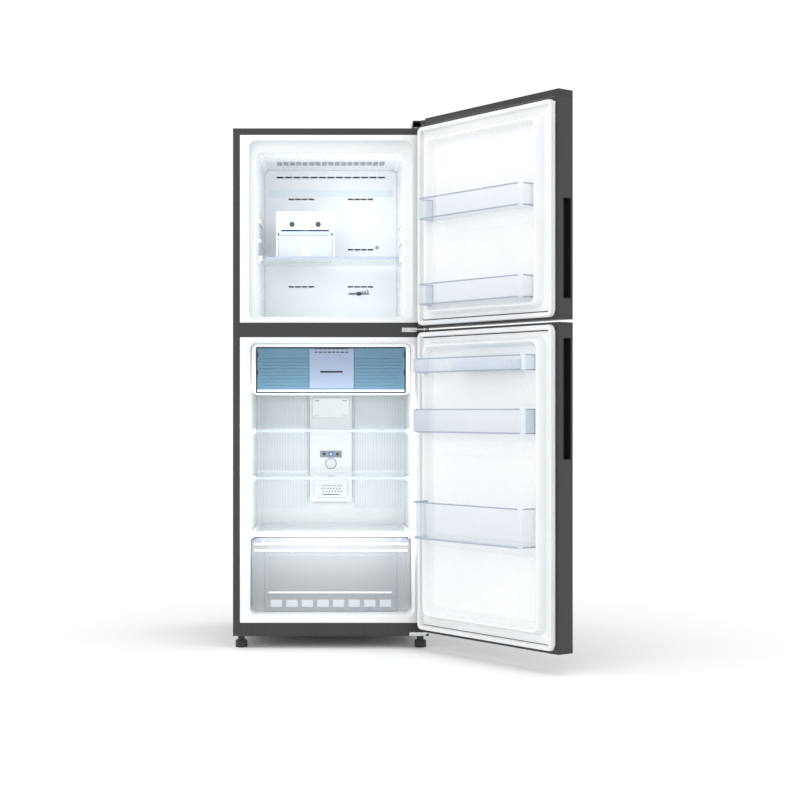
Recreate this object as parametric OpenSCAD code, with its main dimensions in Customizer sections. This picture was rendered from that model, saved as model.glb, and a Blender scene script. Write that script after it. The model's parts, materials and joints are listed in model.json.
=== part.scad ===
// Two-door top freezer refrigerator, standing with both doors open.
// +Z is up and the front faces -Y. Every piece is drawn about the cabinet's centre
// line, with the front rim at Y = 0 and the floor at Z = 0. The doors are drawn shut
// and then turned about their hinge line. Last of all everything moves back by half
// the cabinet's depth, so the origin lies on the floor under the cabinet's middle.

/* [Cabinet] */
// Width of the cabinet
cabinet_w = 545; // [450:1:680]
// Depth of the cabinet, front rim to back sheet
cabinet_d = 565; // [560:1:700]
// Height of the cabinet without its feet
cabinet_h = 1413; // [1170:1:1700]
// Gap between the floor and the cabinet
base_gap = 34; // [34:1:44]
// Height of the freezer's front opening
freezer_open_h = 522; // [435:1:630]
// Height of the rail between the two compartments
mullion_h = 41; // [41:1:60]
// Height of the strip under the fridge compartment
plinth_h = 37; // [36:1:50]
// Width of the steel rim at each side
rim_side = 19.5; // [18:0.5:24]
// Height of the steel rim along the top
rim_top = 18.5; // [18:0.5:24]
// Thickness of the steel sheet
sheet = 1; // [0.8:0.1:1.2]
// Wall of the moulded liners
liner_t = 2; // [1.6:0.1:2.4]

/* [Freezer compartment] */
// Width of the liner's flat lip at each side
freezer_lip = 25; // [20:1:30]
// Width of the step inside the lip
freezer_step = 20; // [16:1:24]
// Depth of the step behind the rim
freezer_step_y = 30; // [28:1:36]
// Narrowing of each side wall from front to back
freezer_taper = 14; // [4:1:16]
// Wall behind the freezer liner
freezer_back_wall = 75; // [60:1:85]
// Front face of the air panel, from the rim
air_panel_y = 352; // [320:1:360]
// Height of the freezer shelf, as a share of the compartment
freezer_shelf_share = 0.365; // [0.34:0.005:0.4]

/* [Fridge compartment] */
// Width of the liner's flat lip at each side
fridge_lip = 20; // [16:1:26]
// Width of the step inside the lip
fridge_step = 7; // [6:1:12]
// Wall behind the fridge liner
fridge_back_wall = 85; // [70:1:95]
// Depth of the vegetable space in front of the machine bay
crisper_bay_y = 325; // [300:1:330]
// Top of the step over the machine bay
step_z = 250; // [245:1:256]
// Underside of the vegetable drawer's cover
crisper_top_z = 305; // [300:1:330]
// Height of the chilled compartment
chiller_h = 144; // [120:1:160]
// Shelf heights, as shares of the space between drawer cover and chilled compartment
shelf_shares = [0.385, 0.73];
// Front edge of every shelf, from the rim
shelf_y = 72; // [70:1:80]
// Thickness of the glass
glass_t = 4; // [3:0.5:5]

/* [Doors] */
// Thickness of a door without its liner's ridges
door_t = 50; // [46:1:60]
// Gap between a shut door and the rim, filled by the seal
door_gap = 13; // [11:0.5:15]
// Angle at which the doors stand open
door_open = 127; // [100:1:128]
// Distance of the hinge line from the door's side
hinge_in = 12; // [11:0.5:13]
// Distance of the hinge line from the door's inner face
hinge_deep = 18.5; // [18:0.5:22]
// Radius of the hinge pins
pin_r = 4; // [3:0.5:4.5]
// Height that the freezer door stands above the cabinet
door_over = 16.5; // [16.5:0.5:20]
// Height of the recessed grip in the freezer door
freezer_grip_h = 250; // [200:1:300]
// Height of the recessed grip in the fridge door
fridge_grip_h = 303; // [250:1:360]
// Reach of the freezer door's shelves from the door's inner face
freezer_pocket_out = 63; // [50:1:66]
// Reach of the fridge door's shelves from the door's inner face
fridge_pocket_out = 76; // [60:1:78]
// Wall of the clear door shelves
pocket_wall = 2.5; // [2:0.5:3]

/* [Feet and rollers] */
// Radius of a levelling foot's pad
foot_r = 16.5; // [14:0.5:18]
// Radius of a rear roller
roller_r = 16; // [14:0.5:16.5]
// Radius of the rollers' axles
axle_r = 4; // [3:0.5:5]

/* [Hidden] */
$fn = 48;

// Colours
steel_dark = "#4d4c4f";
white_abs = "#f3f5f6";
clear_ps = "#cfdbe6";
black_abs = "#1d1d1f";
zinc = "#b9bcbf";
copper = "#b0764e";
foam_tan = "#e2cf9a";
rubber = "#2a2a2b";

// Clearances
play = 0.4;
slide_gap = 1;
side_gap = 4;

// Levels of the cabinet
half_w = cabinet_w / 2;
cab_top = base_gap + cabinet_h;
fz_open_top = cab_top - rim_top;
fz_open_bot = fz_open_top - freezer_open_h;
rf_open_top = fz_open_bot - mullion_h;
rf_open_bot = base_gap + plinth_h;
mullion_mid = fz_open_bot - mullion_h / 2;
open_hw = half_w - rim_side;
back_bead = 2;
back_y = cabinet_d - back_bead - sheet;
bay_deep = 190;
bay_y = cabinet_d - bay_deep;

// Freezer cavity
fz_lip_top = 14;
fz_lip_bot = 8;
fz_step_top = 31;
fz_step_bot = 10;
fz_rec_hw = open_hw - freezer_lip;
fz_hw = fz_rec_hw - freezer_step;
fz_rec_z0 = fz_open_bot + fz_lip_bot;
fz_rec_z1 = fz_open_top - fz_lip_top;
fz_z0 = fz_rec_z0 + fz_step_bot;
fz_z1 = fz_rec_z1 - fz_step_top;
fz_back = cabinet_d - freezer_back_wall;
fz_corner = 17;
function fz_half(y) = fz_hw - freezer_taper * (y - freezer_step_y) / (fz_back - freezer_step_y);

// Fridge cavity
rf_lip_top = 11;
rf_lip_bot = 18;
rf_step_z = 4;
rf_step_y = 8;
rf_rec_hw = open_hw - fridge_lip;
rf_hw = rf_rec_hw - fridge_step;
rf_rec_z0 = rf_open_bot + rf_lip_bot;
rf_rec_z1 = rf_open_top - rf_lip_top;
rf_z0 = rf_rec_z0 + rf_step_z;
rf_z1 = rf_rec_z1 - rf_step_z;
rf_back = cabinet_d - fridge_back_wall;
rf_corner = 18;
step_wall = 42;
rf_step_top = step_z + step_wall;

// Inside the fridge compartment
duct_t = 25;
duct_hw = 66;
duct_y = rf_back - duct_t;
chiller_z0 = rf_z1 - chiller_h;
chiller_floor = 4;
chiller_side = 13;
chiller_roof = 9;
crisper_rim_h = 14;
crisper_glass_z = crisper_top_z + crisper_rim_h - glass_t;
shelf_y1 = duct_y - 5;
shelf_low = crisper_top_z + crisper_rim_h;
function shelf_z(i) = shelf_low + shelf_shares[i] * (chiller_z0 - shelf_low);
fz_shelf_z = fz_z0 + freezer_shelf_share * (fz_z1 - fz_z0);
fz_shelf_y0 = 60;
fz_shelf_y1 = air_panel_y - 34;
ledge_h = 7;
ledge_w = 7;
ledge_y0 = 84;

// Doors, drawn shut
hinge_x = half_w - hinge_in;
hinge_y = -door_gap - hinge_deep;
door_in = -door_gap;
door_out = -door_gap - door_t;
door_split = 7.5;
fzd_top = cab_top + door_over;
fzd_bot = mullion_mid + door_split / 2;
rfd_top = mullion_mid - door_split / 2;
rfd_bot = base_gap + 19;
cap_top = door_over + 1.5;
cap_bot = 10;
hem = 12;
dyke_h = 26;
dyke_slope = 8;
dyke_wall = 16;
dyke_gap = 6;
seal_w = 13;
seal_gap = 0.6;
pin_len = 8;
notch_len = 33;
notch_floor = fzd_top - cap_top;
hinge_block_h = 12;
hinge_plate = 3;
grip_w = 26;
grip_deep = 22;
grip_wall = 2;
grip_from_out = 7;
fz_grip_z = fzd_bot + 53;
rf_grip_z = rfd_top - 40 - fridge_grip_h;
fz_pocket_hw = fz_hw - 7;
rf_pocket_hw = rf_hw - 13;
fz_pocket_z = [fzd_bot + 0.097 * (fzd_top - fzd_bot), fzd_bot + 0.5 * (fzd_top - fzd_bot)];
fz_pocket_h = 58;
rf_pocket_h = [100, 64, 40];
rf_pocket_share = [0.331, 0.747, 0.956];
rf_dyke_z0 = rf_rec_z0 + dyke_gap + dyke_wall;
rf_dyke_z1 = rf_rec_z1 - dyke_gap - dyke_wall;
rf_pocket_z = [
    for (i = [0:2]) rf_dyke_z0 + rf_pocket_share[i] * (rf_dyke_z1 - rf_pocket_h[i] - rf_dyke_z0)
];

// Feet and rollers
foot_x = half_w - 22;
foot_y = 30;
stem_r = 4;
foot_pad_h = 20;
roller_x = half_w - 40;
roller_y = cabinet_d - 42;
roller_w = 14;
cheek_t = 2;

// ---- helpers ----

// A block from its six faces.
module block(x0, x1, y0, y1, z0, z1) {
    translate([x0, y0, z0]) cube([x1 - x0, y1 - y0, z1 - z0]);
}

// Flat rectangle with round corners, drawn in X and Z.
module rrect(hw, z0, z1, r) {
    translate([-hw + r, z0]) square([2 * (hw - r), z1 - z0]);
    translate([-hw, z0 + r]) square([2 * hw, z1 - z0 - 2 * r]);
    for (x = [-hw + r, hw - r], z = [z0 + r, z1 - r]) translate([x, z]) circle(r);
}

// Extrudes an X-Z outline from y0 to y1.
module slab(y0, y1) {
    translate([0, y1, 0]) rotate([90, 0, 0]) linear_extrude(y1 - y0) children();
}

// A rod along X, Y or Z.
module rod_x(x0, x1, y, z, r) { translate([x0, y, z]) rotate([0, 90, 0]) cylinder(h = x1 - x0, r = r); }
module rod_y(x, y0, y1, z, r) { translate([x, y1, z]) rotate([90, 0, 0]) cylinder(h = y1 - y0, r = r); }
module rod_z(x, y, z0, z1, r) { translate([x, y, z0]) cylinder(h = z1 - z0, r = r); }

// Moves a piece from the drawing frame to the part's own frame.
module on_cabinet() { translate([0, -cabinet_d / 2, 0]) children(); }

// The same for a piece of a door, turned open about the hinge line.
module on_door() {
    on_cabinet()
    translate([hinge_x, hinge_y, 0]) rotate([0, 0, door_open]) translate([-hinge_x, -hinge_y, 0])
    children();
}

// ---- cabinet ----

module cabinet_shell() {
    color(steel_dark) on_cabinet() difference() {
        block(-half_w, half_w, 0, back_y, base_gap, cab_top);
        block(-half_w + sheet, half_w - sheet, sheet, cabinet_d, base_gap - 1, cab_top - sheet);
        block(-open_hw, open_hw, -1, 2 * sheet, base_gap - 1, fz_open_top);
    }
}

module back_panel() {
    z0 = step_z + sheet;
    bead_gap = cabinet_w / 6;
    color(steel_dark) on_cabinet() {
        block(-half_w, half_w, back_y, back_y + sheet, z0, cab_top);
        for (i = [-2:2])
            slab(back_y + sheet, cabinet_d)
                translate([i * bead_gap, 0]) rrect(12, z0 + 60, cab_top - 60, 11);
    }
}

module foot_hole(s) { rod_z(s * foot_x, foot_y, base_gap - 1, base_gap + 30, stem_r + play); }

module base_pan() {
    pan_y1 = back_y;
    color(zinc) on_cabinet() difference() {
        union() {
            block(-half_w + sheet, half_w - sheet, sheet, pan_y1, base_gap, base_gap + 2);
            for (s = [-1, 1]) {
                rod_z(s * foot_x, foot_y, base_gap + 2, base_gap + 14, stem_r + 4);
                for (c = [-1, 1])
                    block(s * roller_x + c * (roller_w / 2 + slide_gap) + (c < 0 ? -cheek_t : 0),
                        s * roller_x + c * (roller_w / 2 + slide_gap) + (c < 0 ? 0 : cheek_t),
                        roller_y - 10, roller_y + 10, roller_r - 8, base_gap);
            }
        }
        foot_hole(-1);
        foot_hole(1);
        for (s = [-1, 1])
            rod_x(s * roller_x - roller_w, s * roller_x + roller_w, roller_y, roller_r, axle_r);
    }
}

module compressor_deck() {
    color(zinc) on_cabinet() {
        block(-half_w + sheet, half_w - sheet, bay_y - sheet, bay_y, base_gap + 2, step_z);
        block(-half_w + sheet, half_w - sheet, bay_y - sheet, back_y + sheet, step_z, step_z + sheet);
    }
}

// Outer form of the freezer liner, grown by t.
module freezer_form(t, y0) {
    slab(y0, freezer_step_y + t) rrect(fz_rec_hw + t, fz_rec_z0 - t, fz_rec_z1 + t, 20 + t);
    hull() {
        slab(freezer_step_y - 1, freezer_step_y)
            rrect(fz_half(freezer_step_y) + t, fz_z0 - t, fz_z1 + t, fz_corner);
        slab(fz_back + t - 1, fz_back + t) rrect(fz_half(fz_back) + t, fz_z0 - t, fz_z1 + t, fz_corner);
    }
}

// Outer form of the fridge liner, grown by t, with the step over the machine bay.
module fridge_form(t, y0) {
    slab(y0, rf_step_y + t) rrect(rf_rec_hw + t, rf_rec_z0 - t, rf_rec_z1 + t, 20 + t);
    slab(rf_step_y - 1, crisper_bay_y + t) rrect(rf_hw + t, rf_z0 - t, rf_z1 + t, rf_corner + t);
    slab(rf_step_y - 1, rf_back + t) rrect(rf_hw + t, rf_step_top - t, rf_z1 + t, rf_corner + t);
}

module cabinet_foam() {
    color(foam_tan) on_cabinet() difference() {
        block(-half_w + sheet, half_w - sheet, liner_t, back_y, base_gap + 2, cab_top - sheet);
        freezer_form(liner_t, -1);
        fridge_form(liner_t, -1);
        block(-half_w, half_w, bay_y - sheet, cabinet_d, base_gap, step_z + sheet);
        for (s = [-1, 1]) rod_z(s * foot_x, foot_y, base_gap, base_gap + 32, stem_r + 4);
    }
}

module ledges(hw, z, y0, y1) {
    for (s = [-1, 1])
        block(s < 0 ? -hw - 1 : hw - ledge_w, s < 0 ? -hw + ledge_w : hw + 1, y0, y1, z - ledge_h, z);
}

module freezer_liner() {
    levels = [freezer_shelf_share, freezer_shelf_share + 0.12, freezer_shelf_share + 0.24];
    color(white_abs) on_cabinet() {
        difference() {
            union() {
                block(-open_hw, open_hw, 0, liner_t, fz_open_bot, fz_open_top);
                freezer_form(liner_t, 0);
            }
            freezer_form(0, -1);
        }
        intersection() {
            freezer_form(liner_t / 2, 0);
            for (f = levels)
                ledges(fz_half(ledge_y0), fz_z0 + f * (fz_z1 - fz_z0), ledge_y0, air_panel_y - 40);
        }
    }
}

module fridge_liner() {
    color(white_abs) on_cabinet() {
        difference() {
            union() {
                block(-open_hw, open_hw, 0, liner_t, rf_open_bot, rf_open_top);
                fridge_form(liner_t, 0);
            }
            fridge_form(0, -1);
        }
        intersection() {
            fridge_form(liner_t / 2, 0);
            for (z = [shelf_z(0), shelf_z(1), crisper_top_z]) ledges(rf_hw, z, ledge_y0, rf_back - 60);
        }
    }
}

module mullion_cover() {
    color(steel_dark) on_cabinet() block(-open_hw, open_hw, 0, sheet, rf_open_top, fz_open_bot);
}

module plinth_cover() {
    color(steel_dark) on_cabinet() block(-open_hw, open_hw, 0, sheet, base_gap, rf_open_bot);
}

// ---- inside the freezer ----

module slot(x0, x1, z, h) { block(x0, x1, air_panel_y - 1, air_panel_y + 6, z - h / 2, z + h / 2); }

// Four bars of a vent, starting at x.
module vent4(x, z) { for (i = [0:3]) slot(x + i * 20, x + i * 20 + 16, z, 5); }

slider_z = fz_z0 + 88;
slider_x0 = 54;
slider_x1 = 115;

module freezer_air_panel() {
    hw = fz_half(air_panel_y + 3) - play;
    h = fz_z1 - fz_z0;
    color(white_abs) on_cabinet() difference() {
        slab(air_panel_y, air_panel_y + 3) rrect(hw, fz_z0 + play, fz_z1 - play, fz_corner);
        for (i = [0:12]) slot(-163 + i * 25.4, -163 + i * 25.4 + 21, fz_z1 - 0.047 * h, 5);
        for (x = [-127, 51]) {
            vent4(x, fz_z0 + 0.81 * h);
            vent4(x, fz_z0 + 0.237 * h);
        }
        vent4(51, fz_z0 + 0.48 * h);
        for (x = [-90, 51]) slot(x, x + 38, fz_z0 + 16, 5);
        slot(slider_x0, slider_x1, slider_z, 5);
    }
}

module airflow_slider() {
    x = (slider_x0 + slider_x1) / 2;
    color(black_abs) on_cabinet() {
        block(x - 6, x + 6, air_panel_y - 7, air_panel_y - play, slider_z - 5, slider_z + 5);
        block(x - 4, x + 4, air_panel_y - play, air_panel_y + 3 + play, slider_z - 2, slider_z + 2);
        block(x - 6, x + 6, air_panel_y + 3 + play, air_panel_y + 6, slider_z - 5, slider_z + 5);
    }
}

coil_hw = 175;
coil_y = air_panel_y + 52;
coil_z = fz_z0 + 60;

module evaporator() {
    color(zinc) on_cabinet() {
        for (i = [-8:8]) block(i * 20 - 0.5, i * 20 + 0.5, coil_y - 28, coil_y + 28, coil_z, coil_z + 190);
        for (i = [0:5], y = [-14, 14]) rod_x(-coil_hw, coil_hw, coil_y + y, coil_z + 20 + i * 30, 4);
    }
}

module defrost_heater() {
    color(copper) on_cabinet() {
        rod_x(-coil_hw, coil_hw, coil_y, coil_z - 30, 5);
        for (s = [-1, 1]) rod_x(s * coil_hw - 8, s * coil_hw + 8, coil_y, coil_z - 30, 9);
    }
}

fan_z = fz_z1 - 100;
fan_r = 55;
fan_y = coil_y - 10;
shaft_r = 2.5;

module fan_motor() {
    color(zinc) on_cabinet() {
        rod_y(0, fan_y + 14, fan_y + 48, fan_z, 22);
        rod_y(0, fan_y - 12, fan_y + 14, fan_z, shaft_r);
        block(-70, 70, fan_y + 48, fan_y + 51, fan_z - 12, fan_z + 12);
    }
}

module fan_blade() {
    color(white_abs) on_cabinet() difference() {
        union() {
            rod_y(0, fan_y - 8, fan_y + 10, fan_z, 14);
            for (a = [0:72:288])
                translate([0, fan_y, fan_z]) rotate([0, a, 0]) translate([12, 0, 0]) rotate([35, 0, 0])
                translate([0, -1, -14]) cube([fan_r - 12, 2, 28]);
        }
        rod_y(0, fan_y - 20, fan_y + 20, fan_z, shaft_r + 0.3);
    }
}

module freezer_shelf() {
    hw0 = fz_half(fz_shelf_y0) - slide_gap - 1;
    hw1 = fz_half(fz_shelf_y1) - slide_gap - 1;
    color(clear_ps) on_cabinet() translate([0, 0, fz_shelf_z]) linear_extrude(glass_t)
        polygon([[-hw0, fz_shelf_y0 + 8], [hw0, fz_shelf_y0 + 8], [hw1, fz_shelf_y1], [-hw1, fz_shelf_y1]]);
}

// Ice maker: a frame on the shelf, two trays that twist, and a box under them.
ice_x = -73;
ice_hw = 82;
ice_z0 = fz_shelf_z + glass_t;
ice_h = 130;
ice_y0 = 92;
ice_y1 = 262;
ice_wall = 3;
tray_half = 28;
tray_off = 37;
tray_z = ice_z0 + 95;
ice_box_h = 62;
tray_pin_r = 4;

module ice_maker_frame() {
    x0 = ice_x - ice_hw;
    x1 = ice_x + ice_hw;
    color(white_abs) on_cabinet() difference() {
        union() {
            for (x = [x0, x1 - ice_wall]) block(x, x + ice_wall, ice_y0, ice_y1, ice_z0, ice_z0 + ice_h);
            for (y = [ice_y0, ice_y1 - ice_wall])
                block(x0, x1, y, y + ice_wall, ice_z0 + 80, ice_z0 + ice_h);
            block(x0, x1, ice_y1 - ice_wall, ice_y1, ice_z0, ice_z0 + ice_h);
            block(x0, x1, ice_y0, ice_y1, ice_z0 + ice_h - ice_wall, ice_z0 + ice_h);
        }
        for (s = [-1, 1]) {
            rod_y(ice_x + s * tray_off, ice_y0 - 9, ice_y1 + 9, tray_z, tray_pin_r + 0.3);
            block(ice_x + s * tray_off - 26, ice_x + s * tray_off + 26, ice_y0 + 24, ice_y1 - 24,
                ice_z0 + ice_h - 9, ice_z0 + ice_h + 9);
        }
    }
}

module ice_tray(s) {
    x = ice_x + s * tray_off;
    y0 = ice_y0 + ice_wall + slide_gap;
    y1 = ice_y1 - ice_wall - slide_gap;
    cell = (y1 - y0 - 4) / 5;
    color("#9fb4c8") on_cabinet() {
        difference() {
            block(x - tray_half, x + tray_half, y0, y1, tray_z - 14, tray_z + 10);
            for (i = [0:4], c = [-1, 0])
                block(x + c * (tray_half - 1) + 1, x + (c + 1) * (tray_half - 1) - 1,
                    y0 + 3 + i * cell, y0 + 1 + (i + 1) * cell, tray_z - 11, tray_z + 11);
        }
        rod_y(x, ice_y0 - 6, y0, tray_z, tray_pin_r);
        rod_y(x, y1, ice_y1 + 2, tray_z, tray_pin_r);
        rod_y(x, ice_y0 - 14, ice_y0 - slide_gap, tray_z, 9);
        block(x - 15, x + 15, ice_y0 - 14, ice_y0 - 6, tray_z - 4, tray_z + 4);
    }
}

module ice_tray_left() { ice_tray(-1); }
module ice_tray_right() { ice_tray(1); }

module ice_box() {
    x0 = ice_x - ice_hw + ice_wall + slide_gap;
    x1 = ice_x + ice_hw - ice_wall - slide_gap;
    z0 = ice_z0 + slide_gap / 2;
    color(clear_ps) on_cabinet() difference() {
        block(x0, x1, ice_y0, ice_y1 - ice_wall - slide_gap, z0, ice_z0 + ice_box_h);
        block(x0 + 2.5, x1 - 2.5, ice_y0 + 2.5, ice_y1 - ice_wall - slide_gap - 2.5, z0 + 2.5, ice_z0 + 99);
    }
}

// ---- inside the fridge compartment ----

room = chiller_z0 - shelf_low;
lamp_hw = 56;
lamp_h = 0.157 * room;
lamp_z1 = chiller_z0 - 6;
lamp_z0 = lamp_z1 - lamp_h;
dial_r = 15;
dial_z = shelf_z(0) + glass_t + dial_r + 12;
vent_z = shelf_low + 0.268 * room;
vent_hh = 0.075 * room;
vent_slot_z = vent_z - 0.68 * vent_hh;
vent_r = 2.6;
vent_rise = 0.31 * vent_hh;
duct_z0 = shelf_low + 0.157 * room;

module fridge_duct_cover() {
    color(white_abs) on_cabinet() difference() {
        slab(duct_y, rf_back) rrect(duct_hw, duct_z0, rf_z1, 16);
        block(-duct_hw + 3, duct_hw - 3, duct_y + 3, rf_back + 1, duct_z0 + 3, rf_z1 - 3);
        for (i = [0:4]) block(-50, 50, duct_y - 1, duct_y + 4, rf_z1 - 24 - i * 8, rf_z1 - 20 - i * 8);
        block(-34, 34, duct_y - 1, duct_y + 4, chiller_z0 + 78, chiller_z0 + 82);
        rod_y(0, duct_y - 1, duct_y + 4, dial_z, 4.4);
        block(-28, 28, duct_y - 1, duct_y + 4, vent_slot_z, vent_slot_z + 3);
        for (i = [-2:2]) rod_y(i * 12, duct_y - 1, duct_y + 4, vent_z, vent_r);
    }
}

module lamp_cover() {
    color("#fbfbf4") on_cabinet() difference() {
        slab(duct_y - 9, duct_y) rrect(lamp_hw, lamp_z0, lamp_z1, 8);
        slab(duct_y - 7, duct_y + 1) rrect(lamp_hw - 2, lamp_z0 + 2, lamp_z1 - 2, 6);
    }
}

module vent_cover() {
    color(white_abs) on_cabinet() difference() {
        slab(duct_y - 5, duct_y) rrect(53, vent_z - vent_hh, vent_z + vent_hh, 8);
        slab(duct_y - 3, duct_y + 1) rrect(50, vent_z - vent_hh + 3, vent_z + vent_hh - 3, 6);
        for (i = [-3:3], j = [-1:1])
            rod_y(i * 9 + (j == 0 ? 0 : 4.5), duct_y - 6, duct_y, vent_z + j * vent_rise, vent_r);
        block(-26, 26, duct_y - 6, duct_y, vent_slot_z, vent_slot_z + 3);
    }
}

module temperature_dial() {
    color(white_abs) on_cabinet() {
        rod_y(0, duct_y - 6, duct_y - play, dial_z, dial_r);
        rod_y(0, duct_y - 12, duct_y - 6, dial_z, dial_r - 3);
        rod_y(0, duct_y - play, duct_y + 6, dial_z, 4);
        block(-2.5, 2.5, duct_y - 16, duct_y - 12, dial_z - 11, dial_z + 11);
    }
}

module fridge_shelves() {
    hw = rf_hw - slide_gap - 1;
    color(clear_ps) on_cabinet() for (i = [0, 1])
        block(-hw, hw, shelf_y + 8, shelf_y1, shelf_z(i), shelf_z(i) + glass_t);
}

module shelf_trims() {
    fz_w = fz_half(fz_shelf_y0) - slide_gap - 1;
    rf_w = rf_hw - slide_gap - 1;
    color(white_abs) on_cabinet() {
        block(-fz_w, fz_w, fz_shelf_y0, fz_shelf_y0 + 8, fz_shelf_z - 4, fz_shelf_z + glass_t);
        for (i = [0, 1])
            block(-rf_w, rf_w, shelf_y, shelf_y + 8, shelf_z(i) - 2, shelf_z(i) + glass_t + 2);
    }
}

cover_y0 = 66;
cover_y1 = rf_back - 72;

module crisper_cover() {
    hw = rf_hw - slide_gap;
    z1 = crisper_top_z + crisper_rim_h;
    color(white_abs) on_cabinet() difference() {
        block(-hw, hw, cover_y0, cover_y1, crisper_top_z, z1);
        block(-hw + 12, hw - 12, cover_y0 + 12, cover_y1 - 12, crisper_glass_z - 1, z1 + 1);
        block(-hw + 16, hw - 16, cover_y0 + 16, cover_y1 - 16, crisper_top_z - 1, z1 + 1);
    }
}

module crisper_glass() {
    hw = rf_hw - slide_gap - 12 - play;
    z = crisper_glass_z - 1;
    color(clear_ps) on_cabinet()
        block(-hw, hw, cover_y0 + 12 + play, cover_y1 - 12 - play, z, z + glass_t);
}

drawer_y0 = 60;
drawer_hw = rf_hw - side_gap;
drawer_z0 = rf_z0 + slide_gap;
drawer_z1 = crisper_top_z - 3;

module crisper_drawer() {
    tub_hw = drawer_hw - 34;
    y1 = crisper_bay_y - 8;
    color(clear_ps) on_cabinet() difference() {
        union() {
            slab(drawer_y0, drawer_y0 + 4) rrect(drawer_hw, drawer_z0, drawer_z1, 16);
            block(-tub_hw, tub_hw, drawer_y0, y1, drawer_z0, drawer_z1 - 16);
            for (s = [-1, 1])
                block(s < 0 ? -drawer_hw : tub_hw - 2, s < 0 ? -tub_hw + 2 : drawer_hw, drawer_y0, y1,
                    drawer_z1 - 20, drawer_z1 - 16);
        }
        block(-tub_hw + 3, tub_hw - 3, drawer_y0 + 4, y1 - 3, drawer_z0 + 3, drawer_z1 + 9);
    }
}

chiller_y0 = 68;
chiller_y1 = duct_y - 6;

module chiller_frame() {
    hw = rf_hw - slide_gap;
    color(white_abs) on_cabinet() difference() {
        slab(chiller_y0 - 2, chiller_y1) rrect(hw, chiller_z0, rf_z1 - slide_gap / 2, rf_corner);
        slab(chiller_y0 - 9, chiller_y1 + 9)
            rrect(hw - chiller_side, chiller_z0 + chiller_floor, rf_z1 - chiller_roof, 4);
    }
}

module chiller_drawer() {
    hw = rf_hw - slide_gap - chiller_side - 1.5;
    z0 = chiller_z0 + chiller_floor + slide_gap;
    z1 = rf_z1 - chiller_roof - 1.5;
    color("#7fa3bd") on_cabinet() difference() {
        block(-hw, hw, chiller_y0, chiller_y1 - 20, z0, z1);
        block(-hw + 2.5, hw - 2.5, chiller_y0 + 3, chiller_y1 - 22.5, z0 + 2.5, z1 + 9);
        block(-hw - 1, hw + 1, chiller_y0 + 14, chiller_y1 + 9, z0 + 70, z1 + 9);
    }
}

// ---- machine bay and back ----

comp_x = -90;
comp_y = bay_y + 92;
comp_z = base_gap + 104;
comp_r = 68;
mount_r = 9;
mount_h = 14;

module compressor() {
    color(black_abs) on_cabinet() {
        translate([comp_x, comp_y, comp_z]) rotate_extrude() {
            translate([0, -54]) square([comp_r - 24, 108]);
            translate([0, -30]) square([comp_r, 60]);
            intersection() {
                union() for (s = [-1, 1]) translate([comp_r - 24, s * 30]) circle(24);
                square([2 * comp_r, 108], center = true);
                translate([0, -60]) square([comp_r, 120]);
            }
        }
        difference() {
            block(comp_x - 78, comp_x + 78, comp_y - 62, comp_y + 62, base_gap + 2 + mount_h, comp_z - 53);
            for (sx = [-1, 1], sy = [-1, 1])
                rod_z(comp_x + sx * 66, comp_y + sy * 50, base_gap, comp_z, mount_r - 3 + play);
        }
        block(comp_x + comp_r - 4, comp_x + comp_r + 26,
            comp_y - 24, comp_y + 24, comp_z - 20, comp_z + 26);
    }
}

module compressor_mounts() {
    color(rubber) on_cabinet() for (sx = [-1, 1], sy = [-1, 1]) {
        rod_z(comp_x + sx * 66, comp_y + sy * 50, base_gap + 2, base_gap + 2 + mount_h, mount_r);
        rod_z(comp_x + sx * 66, comp_y + sy * 50, base_gap + 2 + mount_h, comp_z - 48, mount_r - 3);
    }
}

tray_x0 = 70;
tray_x1 = 190;

module evaporating_tray() {
    y0 = bay_y + 20;
    y1 = roller_y + 20;
    z = base_gap + 2;
    color(black_abs) on_cabinet() difference() {
        block(tray_x0, tray_x1, y0, y1, z, z + 40);
        block(tray_x0 + 2, tray_x1 - 2, y0 + 2, y1 - 2, z + 2, z + 50);
    }
}

// Copper loop that rises from the compressor, dips into the tray and enters the wall.
module refrigerant_pipes() {
    r = 3;
    x0 = comp_x + 20;
    z1 = comp_z + 80;
    zt = base_gap + 14;
    xt = (tray_x0 + tray_x1) / 2;
    color(copper) on_cabinet() {
        rod_z(x0, comp_y, comp_z + 54, z1, r);
        translate([x0, comp_y, z1]) sphere(r);
        rod_x(x0, xt, comp_y, z1, r);
        translate([xt, comp_y, z1]) sphere(r);
        rod_z(xt, comp_y, zt, z1, r);
        translate([xt, comp_y, zt]) sphere(r);
        rod_y(xt, comp_y, comp_y + 36, zt, r);
        translate([xt, comp_y + 36, zt]) sphere(r);
        rod_z(xt, comp_y + 36, zt, step_z, r);
    }
}

module compressor_cover() {
    color(black_abs) on_cabinet() difference() {
        block(-half_w + sheet, half_w - sheet, back_y + sheet - 2, back_y + sheet, base_gap + 10, step_z);
        for (i = [0:21], z = [90, 130, 170, 210])
            block(-220 + i * 20, -210 + i * 20, back_y - 3, back_y + 9, z, z + 24);
    }
}

module mains_inlet() {
    x = half_w - 38;
    z = step_z + 40;
    color(black_abs) on_cabinet() difference() {
        slab(back_y + sheet, cabinet_d) translate([x, 0]) rrect(24, z, z + 34, 4);
        slab(back_y + sheet + 1, cabinet_d + 1) translate([x, 0]) rrect(14, z + 8, z + 26, 3);
    }
}

// ---- hinges ----

cover_x0 = hinge_x - 33;
cover_x1 = hinge_x + 8;

module screw(h) {
    translate([0, 0, -h]) cylinder(h = h, r = 2.4);
    cylinder(h = 2.5, r = 5);
}

hinge_screw_y = [22, 52];

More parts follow.
